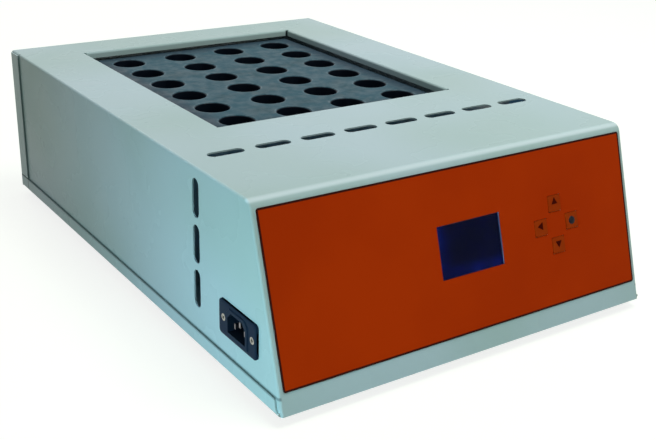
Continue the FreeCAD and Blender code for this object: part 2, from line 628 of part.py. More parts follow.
def make_cover():
    """Wrap-around cover: leaning front, top with a flanged opening, and sides with inturned edges."""
    cover = body("cover")
    outside = [(front_line("case_base"), "case_base"), (front_line("case_top"), "case_top"),
               ("rear_face", "case_top"), ("rear_face", "top_inside"), ("cover_rear", "top_inside"),
               ("cover_rear", "cover_foot"), (front_line("cover_foot", "front_wall"), "cover_foot"),
               (front_line("case_base", "front_wall"), "case_base")]
    pad(cover, polygon(sketch(cover, "YZ_Plane"), outside), "2 * cover_half", both=True)
    hollow = [(front_line("cover_foot + sheet", "front_wall"), "cover_foot + sheet"),
              (front_line("top_inside", "front_wall"), "top_inside"),
              ("cover_rear - sheet", "top_inside"), ("cover_rear - sheet", "cover_foot + sheet")]
    pocket(cover, polygon(sketch(cover, "YZ_Plane"), hollow), "2 * inner_half", both=True)
    side, rear, top = amount("cover_half"), amount("cover_rear"), amount("case_top")
    bends = (("top_inside", "front_wall", "front_bend - sheet"), ("case_top", "0", "front_bend"))
    for level, inset, radius in bends:
        bend_y, bend_z = amount(front_line(level, inset)), amount(level)
        soften(cover, radius, lambda edge: near(edge.YMin, bend_y) and near(edge.YMax, bend_y)
               and near(edge.ZMin, bend_z))
    soften(cover, "edge_bend", lambda edge: near(abs(edge.XMin), side) and edge.XLength < 0.01
           and edge.ZMax > top - amount("case_height") / 2 and edge.YMin < rear - 1
           and not near(edge.ZMax, amount("cover_foot")))
    mouth = [(front_line("case_base - overrun", "front_wall"), "case_base - overrun"),
             (front_line("cover_foot + sheet", "front_wall"), "cover_foot + sheet"),
             ("cover_rear - sheet", "cover_foot + sheet"), ("cover_rear - sheet", "top_inside"),
             ("rear_face + overrun", "top_inside"), ("rear_face + overrun", "case_base - overrun")]
    pocket(cover, polygon(sketch(cover, "YZ_Plane"), mouth), "2 * (inner_half - return_width)", both=True)

    rim = rectangle(sketch(cover, lift="case_top - sheet / 2"), "opening_width + 2 * sheet",
                    "opening_depth + 2 * sheet", y="opening_y")
    pad(cover, rim, "flange_depth - sheet / 2", down=True)
    hole = rectangle(sketch(cover, lift="case_top"), "opening_width", "opening_depth",
                     y="opening_y")
    pocket(cover, hole, "flange_depth + overrun")
    half_x, half_y = amount("opening_width / 2"), amount("opening_depth / 2")
    middle = amount("opening_y")
    soften(cover, "edge_bend", lambda edge: near(edge.ZMin, top) and edge.ZLength < 0.01
           and edge.XMax < half_x + 0.1 and edge.XMin > -half_x - 0.1
           and edge.YMax < middle + half_y + 0.1 and edge.YMin > middle - half_y - 0.1)
    reliefs = sketch(cover, lift="case_top")
    for x in ("-opening_width / 2", "opening_width / 2"):
        for y in ("opening_y - opening_depth / 2", "opening_y + opening_depth / 2"):
            circle(reliefs, "2 * relief_radius", x, y)
    pocket(cover, reliefs, "flange_depth + overrun")

    first = slot(sketch(cover, lift="case_top"), "-(top_slot_count - 1) * top_slot_pitch / 2",
                 "opening_y - opening_depth / 2 - top_slot_setback")
    repeat(cover, pocket(cover, first, "2 * sheet"), ("X_Axis", "top_slot_pitch", "top_slot_count"))
    lowest = slot(sketch(cover, "YZ_Plane"), "front_edge + side_slot_setback",
                  "case_top - side_slot_drop - (side_slot_count - 1) * side_slot_pitch / 2", upright=True)
    repeat(cover, pocket(cover, lowest, "2 * case_width", both=True),
           ("Z_Axis", "side_slot_pitch", "side_slot_count"))
    pocket(cover, panel_windows(panel_sketch(cover)), "2 * sheet")

    inlet = rectangle(sketch(cover, "YZ_Plane", lift="-cover_half"), "shroud_width + 2 * inlet_gap",
                      "shroud_height + 2 * inlet_gap", "front_edge + inlet_setback", "case_base + inlet_rise")
    for end in ("-", "+"):
        circle(inlet, clear("small_screw"), f"front_edge + inlet_setback {end} inlet_screw_pitch / 2",
               "case_base + inlet_rise")
    pocket(cover, inlet, "2 * sheet", up=True)

    back = circle(sketch(cover, "XZ_Plane", lift="-cover_rear"), tapped("screw_diameter"),
                  "-(inner_half - return_width / 2)", "case_base + case_height / 4")
    repeat(cover, pocket(cover, back, "2 * sheet", up=True),
           ("X_Axis", "2 * inner_half - return_width", "2"), ("Z_Axis", "case_height / 2", "2"))
    under = circle(sketch(cover, lift="cover_foot"), tapped("screw_diameter"),
                   "-(inner_half - return_width / 2)", "-case_depth / 3")
    repeat(cover, pocket(cover, under, "2 * sheet", up=True),
           ("X_Axis", "2 * inner_half - return_width", "2"), ("Y_Axis", "case_depth / 3", "3"))
    return cover


def make_tray():
    """Base tray: floor with upturned lips outside the cover, and a front and a rear tab inside it."""
    tray = body("base_tray")
    half = "case_width / 2"
    channel = [(f"-{half}", "lip_top"), (f"-{half}", "case_base"), (half, "case_base"), (half, "lip_top"),
               (f"{half} - sheet", "lip_top"), (f"{half} - sheet", "tray_floor"),
               (f"-{half} + sheet", "tray_floor"), (f"-{half} + sheet", "lip_top")]
    profile = polygon(sketch(tray, "XZ_Plane", lift="-cover_rear"), channel)
    pad(tray, profile, "cover_rear - tray_front")
    base = amount("case_base")
    soften(tray, "edge_bend", lambda edge: near(edge.ZMin, base) and edge.ZLength < 0.01
           and near(abs(edge.XMin), amount(half)) and edge.XLength < 0.01)
    tab = "2 * (inner_half - return_width - bulkhead_side_gap)"
    front_tab = [(front_line("case_base", "front_wall + sheet_gap"), "case_base"),
                 (front_line("lip_top", "front_wall + sheet_gap"), "lip_top"),
                 (front_line("lip_top", "2 * front_wall + sheet_gap"), "lip_top"),
                 (front_line("case_base", "2 * front_wall + sheet_gap"), "case_base")]
    pad(tray, polygon(sketch(tray, "YZ_Plane"), front_tab), tab, both=True)
    rear_tab = [("cover_rear - sheet", "case_base"), ("cover_rear", "case_base"), ("cover_rear", "lip_top"),
                ("cover_rear - sheet", "lip_top")]
    pad(tray, polygon(sketch(tray, "YZ_Plane"), rear_tab), tab, both=True)
    notch = [(front_line("tray_floor + sheet", "-lip_height"), "tray_floor + sheet"),
             (front_line("lip_top + overrun", "-lip_height"), "lip_top + overrun"),
             (front_line("lip_top + overrun", "front_wall + lip_relief"), "lip_top + overrun"),
             (front_line("tray_floor + sheet", "front_wall + lip_relief"), "tray_floor + sheet")]
    for side in ("-", ""):
        flank = polygon(sketch(tray, "YZ_Plane", lift=f"{side}(case_width / 2 - sheet / 2)"), notch)
        pocket(tray, flank, "sheet + 2 * sheet_gap", both=True)

    foot = circle(sketch(tray, lift="tray_floor"), clear("screw_diameter"),
                  "-case_width / 2 + foot_inset", "-case_depth / 2 + foot_inset")
    repeat(tray, pocket(tray, foot, "2 * sheet"), ("X_Axis", "case_width - 2 * foot_inset", "2"),
           ("Y_Axis", "case_depth - 2 * foot_inset", "2"))
    pillar = circle(sketch(tray, lift="tray_floor"), clear("screw_diameter"),
                    "-pillar_reach_x", "opening_y - pillar_reach_y")
    repeat(tray, pocket(tray, pillar, "2 * sheet"), ("X_Axis", "2 * pillar_reach_x", "2"),
           ("Y_Axis", "2 * pillar_reach_y", "2"))
    fixing = circle(sketch(tray, lift="tray_floor"), clear("screw_diameter"),
                    "-(inner_half - return_width / 2)", "-case_depth / 3")
    repeat(tray, pocket(tray, fixing, "2 * sheet"), ("X_Axis", "2 * inner_half - return_width", "2"),
           ("Y_Axis", "case_depth / 3", "3"))
    for size, gap, x, y, runs in (
            ("small_screw", "thread_gap", "-(bulkhead_screw_count - 1) * bulkhead_screw_pitch / 2",
             "bulkhead_y - bulkhead_foot / 2", [("X_Axis", "bulkhead_screw_pitch", "bulkhead_screw_count")]),
            ("small_screw", "thread_gap", "terminal_x", "terminal_y - ear_reach",
             [("Y_Axis", "2 * ear_reach", "2")]),
            ("small_screw", "hole_gap", "sink_x - sink_reach_x", "sink_y - sink_reach_y",
             [("X_Axis", "2 * sink_reach_x", "2"), ("Y_Axis", "2 * sink_reach_y", "2")])):
        hole = circle(sketch(tray, lift="tray_floor"), f"{size} + 2 * {gap}", x, y)
        repeat(tray, pocket(tray, hole, "2 * sheet"), *runs)
    vent = slot(sketch(tray, lift="tray_floor"), "-(floor_slot_count - 1) * top_slot_pitch / 2",
                "sink_y")
    repeat(tray, pocket(tray, vent, "2 * sheet"), ("X_Axis", "top_slot_pitch", "floor_slot_count"))
    return tray


def make_rear_panel():
    """Rear panel: flanged forward over the sides of the cover, with a row of slots."""
    panel = body("rear_panel")
    half = "case_width / 2"
    plate = rectangle(sketch(panel, "XZ_Plane", lift="-rear_face"), "case_width",
                      "top_inside - sheet_gap - case_base", y="(top_inside - sheet_gap + case_base) / 2")
    pad(panel, plate, "sheet")
    foot = "lip_top + corner_gap"
    wings = sketch(panel, lift=foot)
    for side in ("-", ""):
        inner = f"{side}({half} - sheet)"
        outer = f"{side}{half}"
        polygon(wings, [(outer, "rear_face - rear_lip"), (outer, "rear_face"), (inner, "rear_face"),
                        (inner, "rear_face - rear_lip")])
    pad(panel, wings, f"top_inside - sheet_gap - ({foot})")
    rear = amount("rear_face")
    soften(panel, "edge_bend", lambda edge: upright(edge) and near(edge.YMin, rear)
           and near(abs(edge.XMin), amount(half)))
    first = slot(sketch(panel, "XZ_Plane", lift="-rear_face"), "-(rear_slot_count - 1) * top_slot_pitch / 2",
                 "case_base + rear_slot_height")
    repeat(panel, pocket(panel, first, "2 * sheet", up=True), ("X_Axis", "top_slot_pitch", "rear_slot_count"))
    hole = circle(sketch(panel, "XZ_Plane", lift="-rear_face"), clear("screw_diameter"),
                  "-(inner_half - return_width / 2)", "case_base + case_height / 4")
    repeat(panel, pocket(panel, hole, "2 * sheet", up=True),
           ("X_Axis", "2 * inner_half - return_width", "2"), ("Z_Axis", "case_height / 2", "2"))
    return panel


def make_feet():
    """Four rubber feet, each with a recess for its screw, and the screws and nuts that hold them."""
    feet = body("rubber_feet")
    hole = "screw_diameter / 2 + hole_gap"
    recess = "screw_diameter * head_ratio / 2 + head_gap"
    profile = [(recess, "0"), ("foot_tip / 2", "0"), ("foot_tip / 2 + foot_bevel", "foot_bevel"),
               ("foot_diameter / 2", "foot_height"), (hole, "foot_height"), (hole, "foot_height / 2"),
               (recess, "foot_height / 2")]
    turned = revolve(feet, polygon(sketch(feet, "XZ_Plane"), profile))
    grid = ("case_width - 2 * foot_inset", "2", "case_depth - 2 * foot_inset", "2")
    repeat(feet, turned, ("X_Axis", *grid[:2]), ("Y_Axis", *grid[2:]))
    corner = ("-case_width / 2 + foot_inset", "-case_depth / 2 + foot_inset")
    place(feet, *corner)
    # The screws point up, so their grid runs backwards in Y.
    held = screws("foot_screws", "screw_diameter", "foot_height / 2 + sheet + thread_reach", *grid)
    place(held, corner[0], "case_depth / 2 - foot_inset", "foot_height / 2", Rotation(Vector(1, 0, 0), 180))
    place(nuts("foot_nuts", "screw_diameter", *grid), *corner, "tray_floor")


def make_case_screws():
    """Screws that hold the rear panel and the tray to the inturned edges of the cover."""
    span = "2 * inner_half - return_width"
    shank = "3 * sheet + thread_reach"
    rear = screws("rear_screws", "screw_diameter", shank, span, "2", "case_height / 2", "2")
    place(rear, "-(inner_half - return_width / 2)", "rear_face", "case_base + 3 * case_height / 4",
          Rotation(Vector(1, 0, 0), -90))
    under = screws("base_screws", "screw_diameter", shank, span, "2", "case_depth / 3", "3")
    place(under, "-(inner_half - return_width / 2)", "case_depth / 3", "case_base",
          Rotation(Vector(1, 0, 0), 180))


# ---------------------------------------------------------------- hot end

def make_block():
    """Graphite block with its grid of tube bores, the probe bore and four tapped holes below."""
    block = body("graphite_block")
    pad(block, rectangle(sketch(block), "block_width", "block_depth"), "block_height")
    top = amount("block_height")
    soften(block, "block_bevel", lambda edge: near(edge.ZMin, top), kind="Chamfer")
    profile = sketch(block, "XZ_Plane", lift="(well_rows - 1) * well_pitch_y / 2",
                     shift_x="-(well_columns - 1) * well_pitch_x / 2", shift_y="block_height")
    radius = "well_diameter / 2"
    mouth = f"{radius} + well_bevel"
    polygon(profile, [("0", "overrun"), (mouth, "overrun"), (mouth, "0"), (radius, "-well_bevel"),
                      (radius, "-well_depth"), ("0", "-well_depth - well_point")])
    bore = revolve(block, profile, "Groove")
    repeat(block, bore, ("X_Axis", "well_pitch_x", "well_columns"), ("Y_Axis", "well_pitch_y", "well_rows"))
    probe = circle(sketch(block, "XZ_Plane", lift="block_depth / 2"), "probe_diameter + 2 * thread_gap",
                   y="probe_level - block_base")
    pocket(block, probe, "probe_depth")
    threads = circle(sketch(block), tapped("block_bolt"), "-bolt_reach_x", "-bolt_reach_y")
    repeat(block, pocket(block, threads, "3 * block_bolt", up=True), ("X_Axis", "2 * bolt_reach_x", "2"),
           ("Y_Axis", "2 * bolt_reach_y", "2"))
    place(block, y="opening_y", z="block_base")
    return block


def element_legs():
    """X of each straight leg of the heating element: one under each column of bores, an even number."""
    legs = 2 * (int(amount("well_columns")) // 2)
    return [f"({leg} - {legs - 1} / 2) * well_pitch_x" for leg in range(legs)]


def element_exits(owner, diameter, lift, level):
    """Sketch of the two round holes that the ends of the heating element pass through."""
    drawing = sketch(owner, "XZ_Plane", lift=lift)
    for x in (element_legs()[0], element_legs()[-1]):
        circle(drawing, diameter, x, level)
    return drawing


def element_path(owner):
    """Path of the heating element: straight legs joined by half turns, with both ends to the front."""
    drawing = sketch(owner)
    reach = "block_depth / 2 - heater_margin - element_margin - well_pitch_x / 2 - element_diameter / 2"
    end = "liner_depth / 2 + element_end"
    xs = element_legs()
    legs = []
    for index, x in enumerate(xs):
        near_end = f"-({end})" if index in (0, len(xs) - 1) else f"-({reach})"
        ends = [(x, near_end), (x, reach)]
        start, stop = ends if index % 2 == 0 else ends[::-1]
        points = [Vector(amount(px), amount(py), 0) for px, py in (start, stop)]
        line = drawing.addGeometry(Part.LineSegment(*points))
        for point, (px, py) in ((1, start), (2, stop)):
            fix(drawing, "DistanceX", line, point, value=px)
            fix(drawing, "DistanceY", line, point, value=py)
        legs.append((line, *points))
    for index, ((before, _, tip), (after, root, _)) in enumerate(zip(legs, legs[1:])):
        crown = (tip + root) / 2 + Vector(0, (tip - root).Length / 2 * (1 if index % 2 == 0 else -1), 0)
        arc = drawing.addGeometry(Part.Arc(tip, crown, root))
        first, last = (2, 1) if index % 2 == 0 else (1, 2)
        drawing.addConstraint(Sketcher.Constraint("Tangent", before, 2, arc, first))
        drawing.addConstraint(Sketcher.Constraint("Coincident", arc, last, after, 1))
    return drawing


def element_section(owner, level="0"):
    """Upright sketch at the left front end of the heating element, for its round section."""
    return sketch(owner, "XZ_Plane", "liner_depth / 2 + element_end", element_legs()[0], level)


def sweep(owner, kind, section, path, level="0"):
    """Draws a section along a path."""
    if level != "0":
        path.setExpression("AttachmentOffset.Base.z", refer(level))
    made = owner.newObject(f"PartDesign::{kind}", f"{owner.Label}_sweep")
    made.Profile = section
    made.Spine = path
    owner.Tip = made
    doc.recompute()
    return made


def make_heater():
    """Heating plate under the block, its bolts, and the two terminals of its element."""
    plate = body("heater_plate")
    drawing = rectangle(sketch(plate), "block_width - 2 * heater_margin",
                        "block_depth - 2 * heater_margin")
    pad(plate, drawing, "heater_thickness")
    hole = circle(sketch(plate), clear("block_bolt"), "-bolt_reach_x", "-bolt_reach_y")
    repeat(plate, pocket(plate, hole, "heater_thickness + overrun", up=True),
           ("X_Axis", "2 * bolt_reach_x", "2"), ("Y_Axis", "2 * bolt_reach_y", "2"))
    place(plate, y="opening_y", z="heater_base")
    bolts = screws("heater_bolts", "block_bolt", "heater_thickness + 2 * block_bolt", "2 * bolt_reach_x", "2",
                   "2 * bolt_reach_y", "2")
    place(bolts, "-bolt_reach_x", "opening_y + bolt_reach_y", "heater_base", Rotation(Vector(1, 0, 0), 180))
    channel = circle(element_section(plate, "heater_thickness / 2"), "element_diameter")
    sweep(plate, "SubtractivePipe", channel, element_path(plate), "heater_thickness / 2")

    element = body("heating_element")
    section = circle(element_section(element), "element_diameter")
    sweep(element, "AdditivePipe", section, element_path(element))
    place(element, y="opening_y", z="element_level")
    bushes = body("element_bushes")
    rings = element_exits(bushes, "bush_diameter", "liner_depth / 2", "0")
    for x in (element_legs()[0], element_legs()[-1]):
        circle(rings, "element_diameter + 2 * thread_gap", x, "0")
    pad(bushes, rings, "bush_length")
    place(bushes, y="opening_y", z="element_level")


def make_insulation():
    """Fibre board under the heater and a frame of it round the block, inside a stainless liner."""
    floor = body("floor_insulation_board")
    inside = ("liner_width - 2 * (liner_sheet + board_gap)", "liner_depth - 2 * (liner_sheet + board_gap)")
    pad(floor, rectangle(sketch(floor), *inside), "floor_insulation")
    head = circle(sketch(floor, lift="floor_insulation"), "block_bolt * head_ratio + 2 * head_gap",
                  "-bolt_reach_x", "-bolt_reach_y")
    repeat(floor, pocket(floor, head, "block_bolt"), ("X_Axis", "2 * bolt_reach_x", "2"),
           ("Y_Axis", "2 * bolt_reach_y", "2"))
    under = circle(sketch(floor), "screw_diameter * head_ratio + 2 * head_gap", "-pillar_reach_x",
                   "-pillar_reach_y")
    repeat(floor, pocket(floor, under, "screw_diameter", up=True), ("X_Axis", "2 * pillar_reach_x", "2"),
           ("Y_Axis", "2 * pillar_reach_y", "2"))
    place(floor, y="opening_y", z="liner_floor")

    frame = body("side_insulation")
    ring = rectangle(sketch(frame), *inside)
    rectangle(ring, "block_width + 2 * board_gap", "block_depth + 2 * board_gap")
    pad(frame, ring, "block_top - side_board_drop - heater_base")
    probe = circle(sketch(frame, "XZ_Plane", lift="block_depth / 2"), "probe_diameter + 2 * board_gap",
                   y="probe_level - heater_base")
    pocket(frame, probe, "3 * wall_insulation", both=True)
    exits = element_exits(frame, "element_diameter + 2 * board_gap", "block_depth / 2",
                          "element_level - heater_base")
    pocket(frame, exits, "3 * wall_insulation", both=True)
    place(frame, y="opening_y", z="heater_base")

    liner = body("liner")
    pad(liner, rectangle(sketch(liner), "liner_width", "liner_depth"), "liner_top - liner_base")
    cavity = rectangle(sketch(liner, lift="liner_sheet"), "liner_width - 2 * liner_sheet",
                       "liner_depth - 2 * liner_sheet")
    pocket(liner, cavity, "liner_top - liner_base", up=True)
    gland = circle(sketch(liner, "XZ_Plane", lift="liner_depth / 2"), "probe_diameter + 2 * board_gap",
                   y="probe_level - liner_base")
    pocket(liner, gland, "4 * liner_sheet", both=True)
    exits = element_exits(liner, "element_diameter + 2 * board_gap", "liner_depth / 2",
                          "element_level - liner_base")
    pocket(liner, exits, "4 * liner_sheet", both=True)
    foot = circle(sketch(liner), clear("screw_diameter"), "-pillar_reach_x", "-pillar_reach_y")
    repeat(liner, pocket(liner, foot, "2 * liner_sheet", up=True), ("X_Axis", "2 * pillar_reach_x", "2"),
           ("Y_Axis", "2 * pillar_reach_y", "2"))
    place(liner, y="opening_y", z="liner_base")


def make_pillars():
    """Pillars that hold the liner off the tray, with a screw into each from below."""
    spans = ("2 * pillar_reach_x", "2 * pillar_reach_y")
    pillars = posts("liner_pillars", "pillar_diameter", "screw_diameter", "pillar_height", *spans)
    place(pillars, "-pillar_reach_x", "opening_y - pillar_reach_y", "tray_floor")
    thread = "pillar_thread * pillar_height"
    held = screws("pillar_screws", "screw_diameter", f"sheet + {thread}", spans[0], "2", spans[1], "2")
    place(held, "-pillar_reach_x", "opening_y + pillar_reach_y", "case_base", Rotation(Vector(1, 0, 0), 180))
    inner = screws("liner_screws", "screw_diameter", f"liner_sheet + {thread}", spans[0], "2", spans[1], "2")
    place(inner, "-pillar_reach_x", "opening_y - pillar_reach_y", "liner_floor")


def make_probe():
    """Temperature probe: a sheath that runs into the block, with a collar outside the liner."""
    probe = body("temperature_probe")
    radius, tip = "probe_diameter / 2", "-probe_depth + probe_end_gap"
    root = "wall_insulation + 2 * board_gap + liner_sheet"
    collar, lead = f"{root} + probe_collar", f"{root} + probe_collar + probe_lead"
    wide, narrow = "probe_collar / 2", "lead_diameter / 2"
    profile = [("0", tip), (radius, tip), (radius, root), (wide, root), (wide, collar), (narrow, collar),
               (narrow, lead), ("0", lead)]
    revolve(probe, polygon(sketch(probe, "XZ_Plane"), profile))
    place(probe, "0", "opening_y - block_depth / 2", "probe_level", Rotation(Vector(1, 0, 0), 90))

    cutout = body("safety_cutout")
    rim, cap = "cutout_diameter / 2", "cutout_cap / 2"
    profile = [("0", "0"), (rim, "0"), (rim, "cutout_rim"), (cap, "cutout_rim"), (cap, "cutout_height"),
               ("0", "cutout_height")]
    revolve(cutout, polygon(sketch(cutout, "XZ_Plane"), profile))
    tabs = sketch(cutout, lift="cutout_height")
    for side in ("-", ""):
        rectangle(tabs, "tab_thickness", "tab_width", f"{side}tab_pitch / 2")
    pad(cutout, tabs, "tab_length")
    place(cutout, "well_pitch_x", "liner_front", "probe_level", Rotation(Vector(1, 0, 0), 90))


def make_bulkhead():
    """Upright sheet between the hot end and the control bay, with a foot screwed to the tray."""
    bulkhead = body("bulkhead")
    profile = [("0", "0"), ("liner_sheet", "0"), ("liner_sheet", "top_inside - tray_floor - liner_top_gap"),
               ("0", "top_inside - tray_floor - liner_top_gap"), ("0", "liner_sheet"),
               ("-bulkhead_foot", "liner_sheet"), ("-bulkhead_foot", "0")]
    pad(bulkhead, polygon(sketch(bulkhead, "YZ_Plane"), profile),
        "2 * (inner_half - return_width - bulkhead_side_gap)", both=True)
    gland = circle(sketch(bulkhead, "XZ_Plane"), "bulkhead_gland", y="probe_level - tray_floor")
    circle(gland, "bulkhead_gland", "well_pitch_x", "probe_level - tray_floor")
    pocket(bulkhead, gland, "4 * liner_sheet", both=True)
    vent = slot(sketch(bulkhead, "XZ_Plane"), "-(floor_slot_count - 1) * top_slot_pitch / 2",
                "bulkhead_vent_height")
    repeat(bulkhead, pocket(bulkhead, vent, "4 * liner_sheet", both=True),
           ("X_Axis", "top_slot_pitch", "floor_slot_count"))
    first = "-(bulkhead_screw_count - 1) * bulkhead_screw_pitch / 2"
    run = ("bulkhead_screw_pitch", "bulkhead_screw_count")
    hole = circle(sketch(bulkhead, lift="liner_sheet"), clear("small_screw"), first,
                  "-bulkhead_foot / 2")
    repeat(bulkhead, pocket(bulkhead, hole, "2 * liner_sheet"), ("X_Axis", *run))
    place(bulkhead, y="bulkhead_y", z="tray_floor")
    held = screws("bulkhead_screws", "small_screw", "liner_sheet + sheet + thread_reach", *run, "1", "1")
    place(held, first, "bulkhead_y - bulkhead_foot / 2", "tray_floor + liner_sheet")


# ---------------------------------------------------------------- control panel

def make_overlay():
    """Printed overlay on the panel, the clear window of the display and the display behind it."""
    overlay = body("panel_overlay")
    drawing = rectangle(sketch(overlay), "overlay_width", "overlay_height",
                        y="overlay_foot + overlay_height / 2")
    pad(overlay, panel_windows(drawing), "overlay_thickness")
    wide = amount("overlay_width / 2")
    soften(overlay, "overlay_corner", lambda edge: upright(edge) and near(abs(edge.XMin), wide))
    lay_on_panel(overlay)

    window = body("display_window")
    pane = rectangle(sketch(window, lift="-sheet"), "window_width - sheet_gap",
                     "window_height - sheet_gap")
    pad(window, pane, "sheet + overlay_thickness")
    lay_on_panel(window, "display_x", "display_rise")

    bezel = body("display_frame")
    outer = ("window_width + 2 * bezel_width", "window_height + 2 * bezel_width")
    inner = tuple(f"{side} - 2 * bezel_sheet" for side in outer)
    pad(bezel, rectangle(sketch(bezel, lift="board_face"), *outer), "bezel_face - board_face")
    can = rectangle(sketch(bezel, lift="board_face"), *inner)
    pocket(bezel, can, "bezel_face - bezel_sheet - board_face", up=True)
    light = rectangle(sketch(bezel), "window_width", "window_height")
    pocket(bezel, light, "board_depth")
    lay_on_panel(bezel, "display_x", "display_rise")

    fit = tuple(f"{side} - 2 * sheet_gap" for side in inner)
    glass = body("display_glass")
    pad(glass, rectangle(sketch(glass, lift="glass_back"), *fit), "glass_thickness")
    lay_on_panel(glass, "display_x", "display_rise")
    light_box = body("display_backlight")
    slab = rectangle(sketch(light_box, lift="board_face"), *fit)
    pad(light_box, slab, "glass_back - board_face")
    lay_on_panel(light_box, "display_x", "display_rise")


def make_keys():
    """Four square keys with skirts and stems, each with its switch plunger, and the switch bodies."""
    for name, (x, rise) in key_places().items():
        key = body(f"key_{name}")
        cap = rectangle(sketch(key, lift="skirt_face"), "key_size", "key_size")
        pad(key, cap, "overlay_thickness + key_rise - skirt_face")
        soften(key, "key_corner", upright)
        skirt = rectangle(sketch(key, lift="skirt_face"), "key_size + 2 * key_skirt",
                          "key_size + 2 * key_skirt")
        pad(key, skirt, "skirt_thickness", down=True)
        stem = circle(sketch(key, lift="plunger_top"), "stem_diameter")
        pad(key, stem, "skirt_face - skirt_thickness - plunger_top")
        lay_on_panel(key, x, rise)
        plunger = body(f"plunger_{name}")
        rod = circle(sketch(plunger, lift="plunger_foot"), "plunger_diameter")
        pad(plunger, rod, "plunger_top - plunger_foot")
        lay_on_panel(plunger, x, rise)

    switches = body("key_switches")
    for name, (x, rise) in key_places().items():
        spot = (x.replace("keys_x", "0"), rise.replace("keys_rise", "0"))
        case = rectangle(sketch(switches, lift="board_face"), "switch_size", "switch_size", *spot)
        circle(case, "plunger_diameter + 2 * key_gap", *spot)
        pad(switches, case, "switch_height")
    lay_on_panel(switches, "keys_x", "keys_rise")


def make_control_board():
    """Circuit board behind the panel, on posts welded to the back of it."""
    board = body("control_board")
    reach = ("control_width / 2 - board_margin", "control_height / 2 - board_margin")
    spans = (f"2 * ({reach[0]})", f"2 * ({reach[1]})")
    pad(board, rectangle(sketch(board, lift="board_back"), "control_width", "control_height"),
        "board_thickness")
    hole = circle(sketch(board, lift="board_face"), clear("small_screw"), f"-({reach[0]})",
                  f"-({reach[1]})")
    grid = (("X_Axis", spans[0], "2"), ("Y_Axis", spans[1], "2"))
    repeat(board, pocket(board, hole, "2 * board_thickness"), *grid)
    lay_on_panel(board, "control_x", "control_rise")
    corner = (f"control_x - ({reach[0]})", f"control_rise - ({reach[1]})")
    studs = body("panel_posts")
    drawing = circle(circle(sketch(studs, lift="board_face"), "post_diameter"),
                     tapped("small_screw"))
    repeat(studs, pad(studs, drawing, "board_depth - sheet"), *grid)
    lay_on_panel(studs, *corner)
    held = body("board_screws")
    radius, head, tip = "small_screw / 2", "small_screw * head_ratio / 2", "board_face + thread_reach"
    crown = "small_screw * head_height"
    face = f"board_back - {crown}"
    profile = [("0", tip), (radius, tip), (radius, "board_back"), (head, "board_back"),
               (head, f"board_back - {crown} / 2"), (f"{head} - small_screw * head_bevel", face), ("0", face)]
    turned = revolve(held, polygon(sketch(held, "XZ_Plane"), profile))
    repeat(held, turned, *grid)
    lay_on_panel(held, *corner)


# ---------------------------------------------------------------- mains inlet

INLET_TURN = Rotation(-90, 0, 90)


def at_inlet(piece, out="0"):
    """Gives a piece the frame of the inlet: X towards the front, Y up, Z out of the left side."""
    place(piece, f"-cover_half - ({out})", "front_edge + inlet_setback", "case_base + inlet_rise", INLET_TURN)


def cut_corners(width, height, cut, low=True):
    """Corners of a rectangle about the origin whose upper corners, and lower if asked, are cut off."""
    right, top = f"({width}) / 2", f"({height}) / 2"
    upper = [(right, f"{top} - {cut}"), (f"{right} - {cut}", top), (f"-{right} + {cut}", top),
             (f"-{right}", f"{top} - {cut}")]
    if not low:
        return upper + [(f"-{right}", f"-{top}"), (right, f"-{top}")]
    return upper + [(f"-{right}", f"-{top} + {cut}"), (f"-{right} + {cut}", f"-{top}"),
                    (f"{right} - {cut}", f"-{top}"), (right, f"-{top} + {cut}")]


